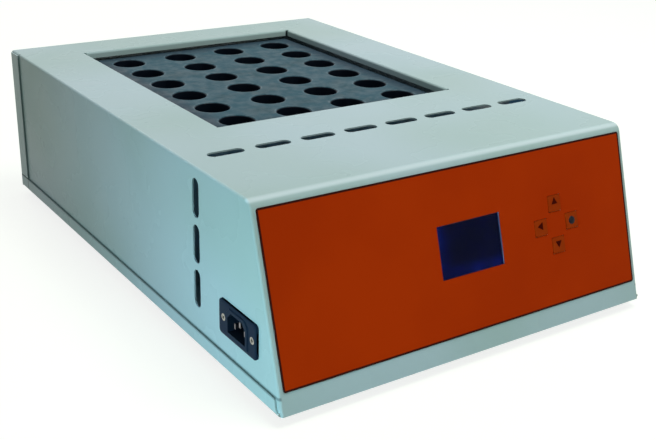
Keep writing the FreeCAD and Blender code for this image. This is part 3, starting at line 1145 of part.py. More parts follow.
def make_inlet():
    """Mains inlet: moulded body with a keyed socket, three pins, and two countersunk screws with nuts."""
    inlet = body("inlet_body")
    flange = polygon(sketch(inlet), cut_corners("inlet_width", "inlet_height", "inlet_corner"))
    pad(inlet, flange, "inlet_flange")
    face = amount("inlet_flange")
    soften(inlet, "inlet_bevel", lambda edge: near(edge.ZMin, face), kind="Chamfer")
    collar = cut_corners("collar_width", "collar_height", "socket_key", low=False)
    pad(inlet, polygon(sketch(inlet), collar), "inlet_mouth")
    mouth = amount("inlet_mouth")
    soften(inlet, "inlet_bevel", lambda edge: near(edge.ZMin, mouth), kind="Chamfer")
    pad(inlet, rectangle(sketch(inlet), "shroud_width", "shroud_height"), "shroud_depth", down=True)
    socket = polygon(sketch(inlet, lift="inlet_mouth"),
                     cut_corners("socket_width", "socket_height", "socket_key", low=False))
    pocket(inlet, socket, "socket_depth")
    blades = sketch(inlet, lift="inlet_mouth - socket_depth")
    pins = {"-pin_pitch": "-pin_offset", "0": "pin_offset", "pin_pitch": "-pin_offset"}
    for x, y in pins.items():
        rectangle(blades, "pin_thickness", "pin_width", x, y)
    pocket(inlet, blades, "shroud_depth")
    screw = "small_screw / 2"
    for side in ("-", ""):
        sink = sketch(inlet, "XZ_Plane", shift_x=f"{side}inlet_screw_pitch / 2")
        above, below = "2 * inlet_flange", "-inlet_flange"
        wide, narrow = f"{screw} * head_ratio", f"{screw} + hole_gap"
        polygon(sink, [("0", above), (wide, above), (wide, "inlet_flange"), (narrow, "inlet_flange / 2"),
                       (narrow, below), ("0", below)])
        revolve(inlet, sink, "Groove")
    at_inlet(inlet)

    metal = body("inlet_pins")
    blades = sketch(metal, lift="-shroud_depth - pin_tail")
    for x, y in pins.items():
        rectangle(blades, "pin_thickness", "pin_width", x, y)
    pad(metal, blades, "shroud_depth + pin_tail + inlet_mouth - pin_recess")
    at_inlet(metal)

    held = body("inlet_screws")
    tip, face = "-sheet - small_screw * nut_height - small_screw", "inlet_flange - screw_recess"
    profile = [("0", tip), (screw, tip), (screw, "inlet_flange / 2 - screw_recess"),
               (f"{screw} * head_ratio - hole_gap", face), ("0", face)]
    turned = revolve(held, polygon(sketch(held, "XZ_Plane", shift_x="-inlet_screw_pitch / 2"), profile))
    repeat(held, turned, ("X_Axis", "inlet_screw_pitch", "2"))
    at_inlet(held)
    backing = nuts("inlet_nuts", "small_screw", "inlet_screw_pitch", "2", "1", "1")
    place(backing, "-inner_half", "front_edge + inlet_setback - inlet_screw_pitch / 2",
          "case_base + inlet_rise", Rotation(90, 0, 90))


# ---------------------------------------------------------------- power parts

def make_power_board():
    """Power supply board on posts, with its transformer, capacitors and connector."""
    board = body("power_board")
    spans = ("power_width - 2 * board_margin", "power_depth - 2 * board_margin")
    pad(board, rectangle(sketch(board), "power_width", "power_depth"), "board_thickness")
    hole = circle(sketch(board), clear("small_screw"), f"-({spans[0]}) / 2", f"-({spans[1]}) / 2")
    repeat(board, pocket(board, hole, "2 * board_thickness", up=True), ("X_Axis", spans[0], "2"),
           ("Y_Axis", spans[1], "2"))
    place(board, "power_x", "power_y", "power_level")
    corner = (f"power_x - ({spans[0]}) / 2", f"power_y - ({spans[1]}) / 2")
    place(posts("power_posts", "post_diameter", "small_screw", "post_height", *spans), *corner, "tray_floor")
    shank = "board_thickness + thread_reach"
    held = screws("power_screws", "small_screw", shank, spans[0], "2", spans[1], "2")
    place(held, *corner, "power_level + board_thickness")

    top = "power_level + board_thickness"
    core_x = "power_x - core_offset"
    core = box("transformer_core", "core_width", "core_depth", "core_height", core_x, "power_y", top)
    coil = box("transformer_coil", "core_width - 2 * core_limb", "winding_depth",
               "core_height - 2 * core_yoke", core_x, "power_y", f"{top} + core_yoke")
    bobbin = doc.addObject("Part::Cut", "transformer_winding")
    bobbin.Label = "transformer_winding"
    bobbin.Base, bobbin.Tool = coil, core
    caps = body("power_capacitors")
    can = circle(sketch(caps), "capacitor_diameter")
    repeat(caps, pad(caps, can, "capacitor_height"), ("Y_Axis", "capacitor_pitch", "2"))
    place(caps, "power_x + capacitor_offset", "power_y - capacitor_pitch / 2", top)
    box("power_connector", "connector_width", "connector_depth", "connector_height",
        "power_x + power_width / 2 - connector_inset", "power_y", top)


def make_relay():
    """Solid-state relay on a finned heat sink."""
    sink = body("heat_sink")
    pad(sink, rectangle(sketch(sink, lift="fin_height"), "sink_width", "sink_depth"), "sink_base")
    feet = sketch(sink)
    for side in ("-", ""):
        rectangle(feet, "sink_foot", "sink_depth", f"{side}sink_reach_x")
    pad(sink, feet, "fin_height")
    pitch = "(sink_width - 2 * sink_foot) / (fin_count + 1)"
    first_fin = f"-(fin_count - 1) / 2 * {pitch}"
    fin = rectangle(sketch(sink), "fin_thickness", "sink_depth", first_fin)
    repeat(sink, pad(sink, fin, "fin_height"), ("X_Axis", pitch, "fin_count"))
    threads = circle(sketch(sink), tapped("small_screw"), "-sink_reach_x", "-sink_reach_y")
    corners = ("2 * sink_reach_x", "2 * sink_reach_y")
    repeat(sink, pocket(sink, threads, "fin_height / 2", up=True), ("X_Axis", corners[0], "2"),
           ("Y_Axis", corners[1], "2"))
    top = sketch(sink, lift="fin_height + sink_base")
    for side in ("-", ""):
        circle(top, tapped("small_screw"), f"{side}relay_reach")
    pocket(sink, top, "sink_base")
    place(sink, "sink_x", "sink_y", "tray_floor")
    held = screws("sink_screws", "small_screw", "sheet + thread_reach", corners[0], "2", corners[1], "2")
    place(held, "sink_x - sink_reach_x", "sink_y + sink_reach_y", "case_base", Rotation(Vector(1, 0, 0), 180))

    relay = body("relay")
    pad(relay, rectangle(sketch(relay), "relay_width", "relay_depth"), "relay_height")
    ends = sketch(relay, lift="relay_height")
    for side in ("-", ""):
        rectangle(ends, "relay_ledge", "relay_mouth", f"{side}(relay_width - relay_ledge) / 2")
    pocket(relay, ends, "relay_drop")
    through = sketch(relay, lift="relay_height")
    for side in ("-", ""):
        circle(through, clear("small_screw"), f"{side}relay_reach")
    pocket(relay, through, "2 * relay_height")
    place(relay, "sink_x", "sink_y", "relay_level")
    fixings = screws("relay_screws", "small_screw", "relay_height - relay_drop + sink_base - sink_base / 4",
                     "2 * relay_reach", "2", "1", "1")
    place(fixings, "sink_x - relay_reach", "sink_y", "ledge_level")
    terminals = screws("relay_terminals", "small_screw", "relay_clamp", "2 * relay_reach", "2",
                       "relay_depth / 2", "2")
    place(terminals, "sink_x - relay_reach", "sink_y - relay_depth / 4", "ledge_level + relay_clamp")


def make_terminals():
    """Screw terminal block for the mains leads, with raised walls between its ways, and the earth stud."""
    strip = body("terminal_block")
    pad(strip, rectangle(sketch(strip), "terminal_depth", "terminal_length"), "terminal_height")
    ears = rectangle(sketch(strip), "terminal_depth / 2", "2 * ear_reach + ear_width")
    pad(strip, ears, "ear_height")
    wall = rectangle(sketch(strip, lift="terminal_height"), "terminal_depth", "terminal_wall",
                     y="-terminal_pitch * terminal_ways / 2")
    repeat(strip, pad(strip, wall, "terminal_rise"), ("Y_Axis", "terminal_pitch", "terminal_ways + 1"))
    first_way = "-(terminal_ways - 1) * terminal_pitch / 2"
    ways = circle(sketch(strip, lift="terminal_height"), tapped("small_screw"),
                  "-terminal_depth / 4", first_way)
    repeat(strip, pocket(strip, ways, "terminal_screw"), ("X_Axis", "terminal_depth / 2", "2"),
           ("Y_Axis", "terminal_pitch", "terminal_ways"))
    hole = circle(sketch(strip, lift="ear_height"), clear("small_screw"), y="-ear_reach")
    repeat(strip, pocket(strip, hole, "2 * ear_height"), ("Y_Axis", "2 * ear_reach", "2"))
    place(strip, "terminal_x", "terminal_y", "tray_floor")

    held = screws("terminal_screws", "small_screw", "terminal_screw", "terminal_depth / 2", "2",
                  "terminal_pitch", "terminal_ways", at=("-terminal_depth / 4", first_way, "terminal_height"))
    shank = "ear_height + sheet + thread_reach / 2"
    screws("", "small_screw", shank, "1", "1", "2 * ear_reach", "2", owner=held,
           at=("0", "-ear_reach", "ear_height"))
    place(held, "terminal_x", "terminal_y", "tray_floor")

    stud = body("earth_stud")
    radius = "screw_diameter / 2"
    profile = [("0", "0"), (f"{radius} * 2", "0"), (f"{radius} * 2", "stud_head"), (radius, "stud_head"),
               (radius, "earth_height"), ("0", "earth_height")]
    revolve(stud, polygon(sketch(stud, "XZ_Plane"), profile))
    nut = nuts("earth_nut", "screw_diameter", "1", "1", "1", "1")
    for piece, lift in ((stud, "0"), (nut, "earth_height / 2")):
        place(piece, "earth_x", "power_y", f"tray_floor + {lift}")


def make_all():
    """Builds every piece and returns the objects that are nodes, in order."""
    before = set(doc.Objects)
    for maker in (make_cover, make_tray, make_rear_panel, make_feet, make_case_screws, make_block,
                  make_heater, make_insulation, make_pillars, make_probe, make_bulkhead, make_overlay,
                  make_keys, make_control_board, make_inlet, make_power_board, make_relay, make_terminals):
        maker()
    doc.recompute()
    kinds = ("PartDesign::Body", "Part::Box", "Part::Cut")
    bases = {piece.Base for piece in doc.Objects if piece.TypeId == "Part::Cut"}
    made = [piece for piece in doc.Objects if piece.TypeId in kinds]
    return [piece for piece in made if piece not in before and piece not in bases]


def write(nodes):
    """Checks every object of the document, then writes each node to a STEP file of its own."""
    for item in doc.Objects:
        if {"Invalid", "Error"} & set(item.State):
            raise RuntimeError(f"{item.Label} is {item.State}")
    os.makedirs("parts", exist_ok=True)
    for node in nodes:
        if node.Shape.isNull() or not node.Shape.isValid():
            raise RuntimeError(f"{node.Label} has no valid shape")
        node.Shape.exportStep(f"parts/{node.Label}.step")
    print(len(nodes), "nodes")


write(make_all())
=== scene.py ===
"""Looks of a bench-top block digester: finishes for every solid of the frame, and the fine pieces it lacks.

The frame stands on the bench with +X to the right of someone who faces the control panel, +Y to the back and
+Z up, in metres. Lengths below are in metres unless a name says otherwise.
"""
import json
import logging
import math
from abc import ABC, abstractmethod
from dataclasses import dataclass
from enum import Enum

import bmesh
import bpy
from mathutils import Matrix, Vector


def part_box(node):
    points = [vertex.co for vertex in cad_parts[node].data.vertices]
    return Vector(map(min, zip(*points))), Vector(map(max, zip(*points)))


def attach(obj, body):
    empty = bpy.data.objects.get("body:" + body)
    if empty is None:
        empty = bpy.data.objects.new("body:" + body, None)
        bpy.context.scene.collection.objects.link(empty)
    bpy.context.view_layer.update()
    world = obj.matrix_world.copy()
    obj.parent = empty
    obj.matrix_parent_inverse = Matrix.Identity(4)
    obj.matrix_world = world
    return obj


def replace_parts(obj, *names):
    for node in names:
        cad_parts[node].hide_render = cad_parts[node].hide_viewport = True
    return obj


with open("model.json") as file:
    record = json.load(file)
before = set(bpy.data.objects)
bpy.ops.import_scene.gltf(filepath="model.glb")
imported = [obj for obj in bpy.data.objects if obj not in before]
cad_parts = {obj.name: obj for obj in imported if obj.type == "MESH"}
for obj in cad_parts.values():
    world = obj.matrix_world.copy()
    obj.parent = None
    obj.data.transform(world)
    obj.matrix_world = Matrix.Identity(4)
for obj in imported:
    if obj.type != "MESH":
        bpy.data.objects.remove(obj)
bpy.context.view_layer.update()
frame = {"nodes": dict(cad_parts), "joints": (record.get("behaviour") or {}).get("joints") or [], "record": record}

LOG = logging.getLogger("digester")
MM = 0.001
MERGE = 1e-6  # points this close are joined
LEVEL = 1e-7  # points this close in height are level
FLAT = 1e-5  # points this close to a plane lie on it
NOISE = (0.3, 0.7)  # where cloudy noise mostly lies
MIX_FIRST, MIX_SECOND, MIX_RESULT = 6, 7, 2  # colour sockets of a mix node
ACROSS = Vector((1, 0, 0))

Link = bpy.types.NodeSocket
Colour = tuple[float, float, float]
BLACK: Colour = (0.0, 0.0, 0.0)
WHITE: Colour = (1.0, 1.0, 1.0)


def tint(red: int, green: int, blue: int) -> Colour:
    """Linear colour of an sRGB one.

    Args:
        red: Red, 0 to 255.
        green: Green, 0 to 255.
        blue: Blue, 0 to 255.

    Returns:
        The three linear channels.
    """
    def linear(channel: int) -> float:
        """Linear value of one channel."""
        share = channel / 255
        return share / 12.92 if share <= 0.04045 else ((share + 0.055) / 1.055) ** 2.4
    return linear(red), linear(green), linear(blue)


# ---------------------------------------------------------------- materials

class Bench:
    """Lays out the nodes of one material."""

    def __init__(self, name: str) -> None:
        """Starts a material.

        Args:
            name: Name of the material.
        """
        self.material = bpy.data.materials.new(name)
        self.material.use_nodes = True
        self.tree = self.material.node_tree
        self.shader = self.tree.nodes["Principled BSDF"]
        self.place = self.node("ShaderNodeTexCoord").outputs["Object"]

    def node(self, kind: str, settings: dict[str, object] | None = None,
             feeds: dict[str | int, object] | None = None) -> bpy.types.Node:
        """Adds a node.

        Args:
            kind: Type of the node.
            settings: Its properties.
            feeds: What goes into its sockets, by name or number: a link or a value.

        Returns:
            The node.
        """
        made = self.tree.nodes.new(kind)
        for name, value in (settings or {}).items():
            setattr(made, name, value)
        for socket, value in (feeds or {}).items():
            self.feed(made.inputs[socket], value)
        return made

    def feed(self, socket: Link, value: object) -> None:
        """Links a socket, or sets its value.

        Args:
            socket: The socket.
            value: A link, a number, a colour or a vector.
        """
        if isinstance(value, bpy.types.NodeSocket):
            self.tree.links.new(value, socket)
        elif isinstance(value, tuple) and socket.type == "RGBA":
            socket.default_value = (*value, 1.0)
        else:
            socket.default_value = value

    def set(self, **feeds: object) -> None:
        """Feeds sockets of the shader, named with underscores for spaces."""
        for name, value in feeds.items():
            self.feed(self.shader.inputs[name.replace("_", " ")], value)

    def maths(self, operation: str, *values: object) -> Link:
        """One step of arithmetic.

        Args:
            operation: Name of the operation.
            *values: Links or numbers.

        Returns:
            The result.
        """
        return self.node("ShaderNodeMath", {"operation": operation}, dict(enumerate(values))).outputs[0]

    def times(self, first: object, second: object) -> Link:
        """Product of two links or numbers."""
        return self.maths("MULTIPLY", first, second)

    def minus(self, first: object, second: object) -> Link:
        """Difference of two links or numbers."""
        return self.maths("SUBTRACT", first, second)

    def axis(self, name: str) -> Link:
        """One coordinate of the point that is shaded.

        Args:
            name: X, Y or Z.

        Returns:
            The coordinate in metres.
        """
        return self.node("ShaderNodeSeparateXYZ", None, {0: self.place}).outputs[name]

    def apart(self, name: str, level: float) -> Link:
        """Distance of the point that is shaded from a plane square to an axis.

        Args:
            name: The axis: X, Y or Z.
            level: Where the plane crosses the axis.

        Returns:
            The distance in metres.
        """
        return self.maths("ABSOLUTE", self.minus(self.axis(name), level))

    def along(self, direction: Vector, start: Vector) -> Link:
        """Distance of the point that is shaded from a start, along a direction.

        Args:
            direction: Unit vector.
            start: Where the distance is nought.

        Returns:
            The distance in metres.
        """
        moved = self.node("ShaderNodeVectorMath", {"operation": "SUBTRACT"}, {0: self.place, 1: start})
        return self.node("ShaderNodeVectorMath", {"operation": "DOT_PRODUCT"},
                         {0: moved.outputs[0], 1: direction}).outputs["Value"]

    def noise(self, size: float, detail: float = 3.0, roughness: float = 0.55,
              stretch: tuple[float, float, float] = (1, 1, 1)) -> Link:
        """Cloudy noise.

        Args:
            size: Size of its blotches.
            detail: Number of finer layers.
            roughness: Share of the finer layers.
            stretch: How much larger the blotches are along each axis.

        Returns:
            The noise, about 0.3 to 0.7.
        """
        scale = tuple(1 / side for side in stretch)
        mapped = self.node("ShaderNodeMapping", None, {"Vector": self.place, "Scale": scale})
        return self.node("ShaderNodeTexNoise", None, {
            "Vector": mapped.outputs[0], "Scale": 1 / size, "Detail": detail,
            "Roughness": roughness}).outputs["Fac"]

    def ramp(self, value: object, low: float, high: float, start: float = 0.0, end: float = 1.0) -> Link:
        """Smooth step from one number to another.

        Args:
            value: What runs from low to high.
            low: Value at which the step starts.
            high: Value at which it ends.
            start: Result up to low.
            end: Result from high.

        Returns:
            The stepped value.
        """
        return self.node("ShaderNodeMapRange", {"interpolation_type": "SMOOTHSTEP"}, {
            "Value": value, "From Min": low, "From Max": high, "To Min": start, "To Max": end}).outputs[0]

    def mix(self, share: object, first: object, second: object) -> Link:
        """Mixes two colours.

        Args:
            share: Share of the second.
            first: Colour or link.
            second: Colour or link.

        Returns:
            The mixed colour.
        """
        made = self.node("ShaderNodeMix", {"data_type": "RGBA"},
                         {0: share, MIX_FIRST: first, MIX_SECOND: second})
        return made.outputs[MIX_RESULT]

    def bump(self, height: object, depth: float, normal: Link | None = None) -> Link:
        """Relief.

        Args:
            height: The relief, nought to one.
            depth: Depth of a relief of one.
            normal: Relief underneath.

        Returns:
            The bent normal.
        """
        feeds = {"Height": height, "Distance": depth}
        if normal is not None:
            feeds["Normal"] = normal
        return self.node("ShaderNodeBump", None, feeds).outputs[0]


class Finish(ABC):
    """What gives a material its look."""

    @abstractmethod
    def lay(self, bench: Bench) -> None:
        """Lays out the nodes.

        Args:
            bench: The material.
        """

    def build(self, name: str) -> bpy.types.Material:
        """Makes the material.

        Args:
            name: Name of the material.

        Returns:
            The material.
        """
        bench = Bench(name)
        self.lay(bench)
        return bench.material


@dataclass(frozen=True)
class PowderCoat(Finish):
    """Powder coat on sheet steel: a fine skin with an even sheen, a little mottled, with painted shade along its
    seams.

    The seams are the level of the tray's lip and the place of the rear panel's flange along Y. The bend is
    where the leaning front meets the top, as Y and Z, and a painted highlight lightens the paint behind it.
    """

    colour: Colour
    mottle: Colour
    seams: tuple[float, float]
    bend: tuple[float, float]
    # painted shade: the dark line along the seams of the sides
    seam_shade: Colour = tint(70, 92, 92)
    # painted highlight just behind the front bend
    bend_highlight: Colour = tint(226, 242, 242)
    roughness: float = 0.26
    shine: float = 0.07
    skin: float = 0.9 * MM
    peel: float = 3.5 * MM
    flank: tuple[float, float] = (171 * MM, 172 * MM)

    def painted_seam_shade(self, bench: Bench) -> Link:
        """Share of painted shade: a thin dark line along the seams of the two sides.

        Args:
            bench: The material.

        Returns:
            The share.
        """
        level, back = (bench.apart(axis, seam) for axis, seam in zip("ZY", self.seams))
        joint = bench.ramp(bench.maths("MINIMUM", level, back), 0.4 * MM, 1.7 * MM, 0.6, 0.0)
        return bench.times(joint, bench.ramp(bench.apart("X", 0.0), *self.flank))

    def painted_bend_highlight(self, bench: Bench) -> Link:
        """Share of painted highlight: a soft light band just behind the front bend.

        Args:
            bench: The material.

        Returns:
            The share.
        """
        edge, crest = self.bend
        behind = bench.minus(bench.axis("Y"), edge)
        near, far = bench.ramp(behind, -0.2 * MM, 1.2 * MM), bench.ramp(behind, 2.5 * MM, 7 * MM, 0.75, 0.0)
        high = bench.ramp(bench.axis("Z"), crest - 3 * MM, crest - 1 * MM)
        return bench.times(bench.times(near, far), high)

    def lay(self, bench: Bench) -> None:
        """Lays out the nodes.

        Args:
            bench: The material.
        """
        cloud = bench.ramp(bench.noise(150 * MM, 1, 0.4), *NOISE)
        speck = bench.ramp(bench.noise(1.6 * MM, 2, 0.6), 0.6, 0.78)
        colour = bench.mix(bench.times(cloud, 0.9), self.colour, self.mottle)
        colour = bench.mix(bench.times(speck, 0.12), colour, self.mottle)
        # painted shade along the seams of the sides
        colour = bench.mix(self.painted_seam_shade(bench), colour, self.seam_shade)
        # painted highlight just behind the front bend
        colour = bench.mix(self.painted_bend_highlight(bench), colour, self.bend_highlight)
        rough = bench.ramp(bench.noise(60 * MM, 3, 0.5), *NOISE, self.roughness - 0.04, self.roughness + 0.06)
        peel = bench.bump(bench.noise(self.peel, 1), 0.008 * MM)
        skin = bench.bump(bench.noise(self.skin, 2), 0.003 * MM, peel)
        bench.set(Base_Color=colour, Roughness=rough, Specular_IOR_Level=self.shine, Normal=skin)


@dataclass(frozen=True)
class Metal(Finish):
    """Bare or plated metal with marks that run one way."""

    colour: Colour
    stain: Colour
    roughness: float = 0.32
    grain: float = 0.5 * MM
    run: tuple[float, float, float] = (1, 1, 1)
    marks: float = 0.01 * MM
    metallic: float = 1.0

    def lay(self, bench: Bench) -> None:
        """Lays out the nodes.

        Args:
            bench: The material.
        """
        streak = bench.noise(self.grain, 3, 0.6, self.run)
        cloud = bench.ramp(bench.noise(14 * MM, 4, 0.6), 0.35, 0.7)
        colour = bench.mix(bench.times(cloud, 0.5), self.colour, self.stain)
        rough = bench.ramp(streak, *NOISE, self.roughness - 0.08, self.roughness + 0.12)
        bench.set(Base_Color=colour, Metallic=self.metallic, Roughness=rough,
                  Normal=bench.bump(streak, self.marks))


@dataclass(frozen=True)
class Moulding(Finish):
    """Moulded plastic or rubber with a fine spark-eroded grain."""

    colour: Colour
    worn: Colour
    roughness: float = 0.45
    grain: float = 0.6 * MM
    relief: float = 0.02 * MM
    sheen: float = 0.0
    shine: float = 0.5

    def lay(self, bench: Bench) -> None:
        """Lays out the nodes.

        Args:
            bench: The material.
        """
        cloud = bench.ramp(bench.noise(12 * MM, 4, 0.6), 0.35, 0.7)
        grain = bench.noise(self.grain, 2)
        bench.set(Base_Color=bench.mix(bench.times(cloud, 0.5), self.colour, self.worn),
                  Roughness=bench.ramp(grain, *NOISE, self.roughness - 0.06, self.roughness + 0.1),
                  Specular_IOR_Level=self.shine, Sheen_Weight=self.sheen,
                  Normal=bench.bump(grain, self.relief))


@dataclass(frozen=True)
class Graphite(Finish):
    """Milled graphite: blue-grey, with painted shade towards its edges, its bores burnished at the rim and painted
    dark inside as shade.

    The middle and the reach are the block's, and the pitch and the bore are those of its grid of bores.
    """

    middle: Vector
    top: float
    reach: tuple[float, float]
    colour: Colour = tint(44, 84, 96)
    smear: Colour = tint(46, 74, 80)
    burnish: Colour = tint(104, 130, 140)
    # painted shade: the colour towards the block's edges
    stain: Colour = tint(30, 46, 60)
    # dark flecks of the graphite, and painted shade inside the bores
    dark: Colour = tint(13, 22, 33)
    shine: float = 0.08
    pitch: tuple[float, float] = (55 * MM, 43 * MM)
    bore: float = 29.5 * MM
    crust: float = 0.5 * MM
    wear: float = 2.6 * MM
    shade_margin: float = 26 * MM
    cutter: float = 46 * MM

    def from_bore(self, bench: Bench) -> Link:
        """Distance of the point that is shaded from the axis of the nearest bore.

        Args:
            bench: The material.

        Returns:
            The distance in metres.
        """
        sides = []
        for axis, start, pitch in zip("XY", self.middle, self.pitch):
            steps = bench.maths("DIVIDE", bench.minus(bench.axis(axis), start), pitch)
            beside = bench.minus(bench.maths("FRACT", steps), 0.5)
            sides.append(bench.maths("POWER", bench.times(beside, pitch), 2.0))
        return bench.maths("SQRT", bench.maths("ADD", *sides))

    def lay(self, bench: Bench) -> None:
        """Lays out the nodes.

        Args:
            bench: The material.
        """
        smear = bench.ramp(bench.noise(26 * MM, 4, 0.6), 0.42, 0.7)
        fleck = bench.ramp(bench.noise(1.2 * MM, 3, 0.7), 0.45, 0.75)
        patch = bench.noise(7 * MM, 3, 0.6)
        face = bench.mix(bench.times(smear, 0.6), self.colour, self.smear)
        face = bench.mix(bench.times(fleck, 0.3), face, self.dark)
        # painted shade: darker towards the block's edges
        edges = [bench.minus(reach, bench.apart(axis, start))
                 for axis, start, reach in zip("XY", self.middle, self.reach)]
        edge = bench.ramp(bench.maths("MINIMUM", *edges), 3 * MM, self.shade_margin, 0.75, 0.0)
        face = bench.mix(edge, face, self.stain)
        mouth = self.bore / 2 + self.crust
        away = self.from_bore(bench)
        rim = bench.ramp(away, mouth + 0.2 * MM, mouth + self.wear, 1.0, 0.0)
        worn = bench.times(rim, bench.ramp(patch, 0.35, 0.65, 0.05, 0.5))
        face = bench.mix(worn, face, self.burnish)
        below = bench.minus(self.top, bench.axis("Z"))
        # painted shade: the bores near black inside, below their rim
        inside = bench.times(bench.ramp(away, mouth - 0.3 * MM, mouth + 0.1 * MM, 1.0, 0.0),
                             bench.ramp(below, 0.0, 0.6 * MM, 0.85, 1.0))
        swirl = bench.node("ShaderNodeTexWave", {"wave_type": "RINGS", "rings_direction": "Z"}, {
            "Vector": bench.place, "Scale": 1 / self.cutter, "Distortion": 3.0, "Detail": 2.0}).outputs["Fac"]
        fine = bench.noise(0.8 * MM, 3, 0.7)
        relief = bench.bump(fine, 0.03 * MM, bench.bump(swirl, 0.03 * MM))
        rough = bench.ramp(bench.noise(9 * MM, 4), *NOISE, 0.36, 0.58)
        rough = bench.minus(rough, bench.times(worn, 0.14))
        bench.set(Base_Color=bench.mix(inside, face, self.dark), Roughness=rough,
                  Specular_IOR_Level=self.shine, Normal=relief)


@dataclass(frozen=True)
class PanelPrint(Finish):
    """Printed polyester overlay: one strong colour inside a thin dark border line."""

    middle: Vector
    slope: Vector
    half_width: float
    half_height: float
    colour: Colour = tint(192, 56, 2)
    shade: Colour = tint(176, 47, 1)
    line: Colour = tint(58, 20, 14)
    line_width: float = 1.5 * MM
    blur: float = 0.2
    shine: float = 0.03

    def lay(self, bench: Bench) -> None:
        """Lays out the nodes.

        Args:
            bench: The material.
        """
        across = bench.maths("ABSOLUTE", bench.along(ACROSS, self.middle))
        rise = bench.maths("ABSOLUTE", bench.along(self.slope, self.middle))
        inset = bench.maths("MINIMUM", bench.minus(self.half_width, across),
                            bench.minus(self.half_height, rise))
        sharp, soft = self.line_width * (1 - self.blur), self.line_width * (1 + self.blur)
        border = bench.ramp(inset, sharp, soft, 1.0, 0.0)
        cloud = bench.ramp(bench.noise(120 * MM, 3), 0.35, 0.65)
        field = bench.mix(bench.times(cloud, 0.5), self.colour, self.shade)
        grain = bench.noise(0.35 * MM, 2)
        bench.set(Base_Color=bench.mix(border, field, self.line), Specular_IOR_Level=self.shine,
                  Roughness=bench.ramp(bench.noise(18 * MM, 5, 0.65), *NOISE, 0.4, 0.52),
                  Normal=bench.bump(grain, 0.006 * MM))


@dataclass(frozen=True)
class LiquidCrystal(Finish):
    """Unlit character display: near black, with a painted glow of light from below that makes it bluer towards the
    left and the foot, and a faint grid of cells.
    """

    slope: Vector
    middle: Vector
    half_width: float
    half_height: float
    colour: Colour = tint(1, 4, 28)
    cell: Colour = tint(6, 13, 54)
    # painted light: the bluer glow
    glow: Colour = tint(22, 40, 112)
    pitch: float = 3.4 * MM
    fade: tuple[float, float] = (0.55, 0.5)
    shine: float = 0.03

    def lay(self, bench: Bench) -> None:
        """Lays out the nodes.

        Args:
            bench: The material.
        """
        across = bench.along(ACROSS, self.middle)
        rise = bench.along(self.slope, self.middle)
        flat = bench.node("ShaderNodeCombineXYZ", None, {0: across, 1: rise}).outputs[0]
        cells = bench.node("ShaderNodeTexBrick", {"offset": 0.0}, {
            "Vector": flat, "Scale": 1 / self.pitch, "Mortar Size": 0.09, "Mortar Smooth": 0.4,
            "Brick Width": 0.78, "Row Height": 1.3, "Color1": WHITE, "Color2": (0.8, 0.8, 0.8),
            "Mortar": BLACK}).outputs["Color"]
        cloud = bench.ramp(bench.noise(16 * MM, 3), 0.35, 0.7)
        share = bench.times(bench.maths("ADD", bench.times(cells, 0.4), cloud), 0.6)
        # painted light: bluer towards the left and the foot
        left = bench.ramp(across, -self.half_width, -self.half_width * self.fade[0], 1.0, 0.0)
        foot = bench.ramp(rise, -self.half_height, -self.half_height * self.fade[1], 1.0, 0.0)
        lit = bench.times(bench.maths("MAXIMUM", left, foot), bench.ramp(cloud, 0, 1, 0.35, 0.9))
        bench.set(Base_Color=bench.mix(lit, bench.mix(share, self.colour, self.cell), self.glow),
                  Specular_IOR_Level=self.shine, Roughness=bench.ramp(cloud, 0, 1, 0.2, 0.3))


@dataclass(frozen=True)
class ClearPane(Finish):
    """Tinted clear acrylic with faint wipe marks, whose low index keeps its reflections weak."""

    colour: Colour = tint(176, 188, 226)
    wiped: Colour = tint(190, 200, 225)
    index: float = 1.09

    def lay(self, bench: Bench) -> None:
        """Lays out the nodes.

        Args:
            bench: The material.
        """
        wipe = bench.noise(4 * MM, 4, 0.65, (6, 1, 1))
        colour = bench.mix(bench.times(wipe, 0.2), self.colour, self.wiped)
        bench.set(Base_Color=colour, Roughness=bench.ramp(wipe, 0.35, 0.75, 0.05, 0.16), IOR=self.index,
                  Transmission_Weight=1.0)


@dataclass(frozen=True)
class CircuitBoard(Finish):
    """Solder resist over copper tracks."""

    colour: Colour = tint(16, 74, 40)
    track: Colour = tint(34, 108, 58)
    density: float = 140.0

    def lay(self, bench: Bench) -> None:
        """Lays out the nodes.

        Args:
            bench: The material.
        """
        tracks = bench.node("ShaderNodeTexBrick", {"offset": 0.37}, {
            "Vector": bench.place, "Scale": self.density, "Mortar Size": 0.06, "Brick Width": 1.7,
            "Row Height": 0.5, "Color1": BLACK, "Color2": (0.2, 0.2, 0.2), "Mortar": WHITE}).outputs["Color"]
        bench.set(Base_Color=bench.mix(tracks, self.colour, self.track),
                  Roughness=bench.ramp(bench.noise(5 * MM), *NOISE, 0.25, 0.4),
                  Normal=bench.bump(tracks, 0.03 * MM))


@dataclass(frozen=True)
class FibreBoard(Finish):
    """Rigid mineral fibre board, grey with binder, darker where it is hot."""

    colour: Colour = tint(116, 140, 150)
    scorch: Colour = tint(84, 104, 120)

    def lay(self, bench: Bench) -> None:
        """Lays out the nodes.

        Args:
            bench: The material.
        """
        fibre = bench.noise(1.5 * MM, 5, 0.75, (3, 3, 1))
        patch = bench.ramp(bench.noise(25 * MM, 4), 0.35, 0.65)
        bench.set(Base_Color=bench.mix(patch, self.colour, self.scorch),
                  Roughness=bench.ramp(fibre, 0, 1, 0.85, 1.0),
                  Sheen_Weight=0.3, Normal=bench.bump(fibre, 0.4 * MM))


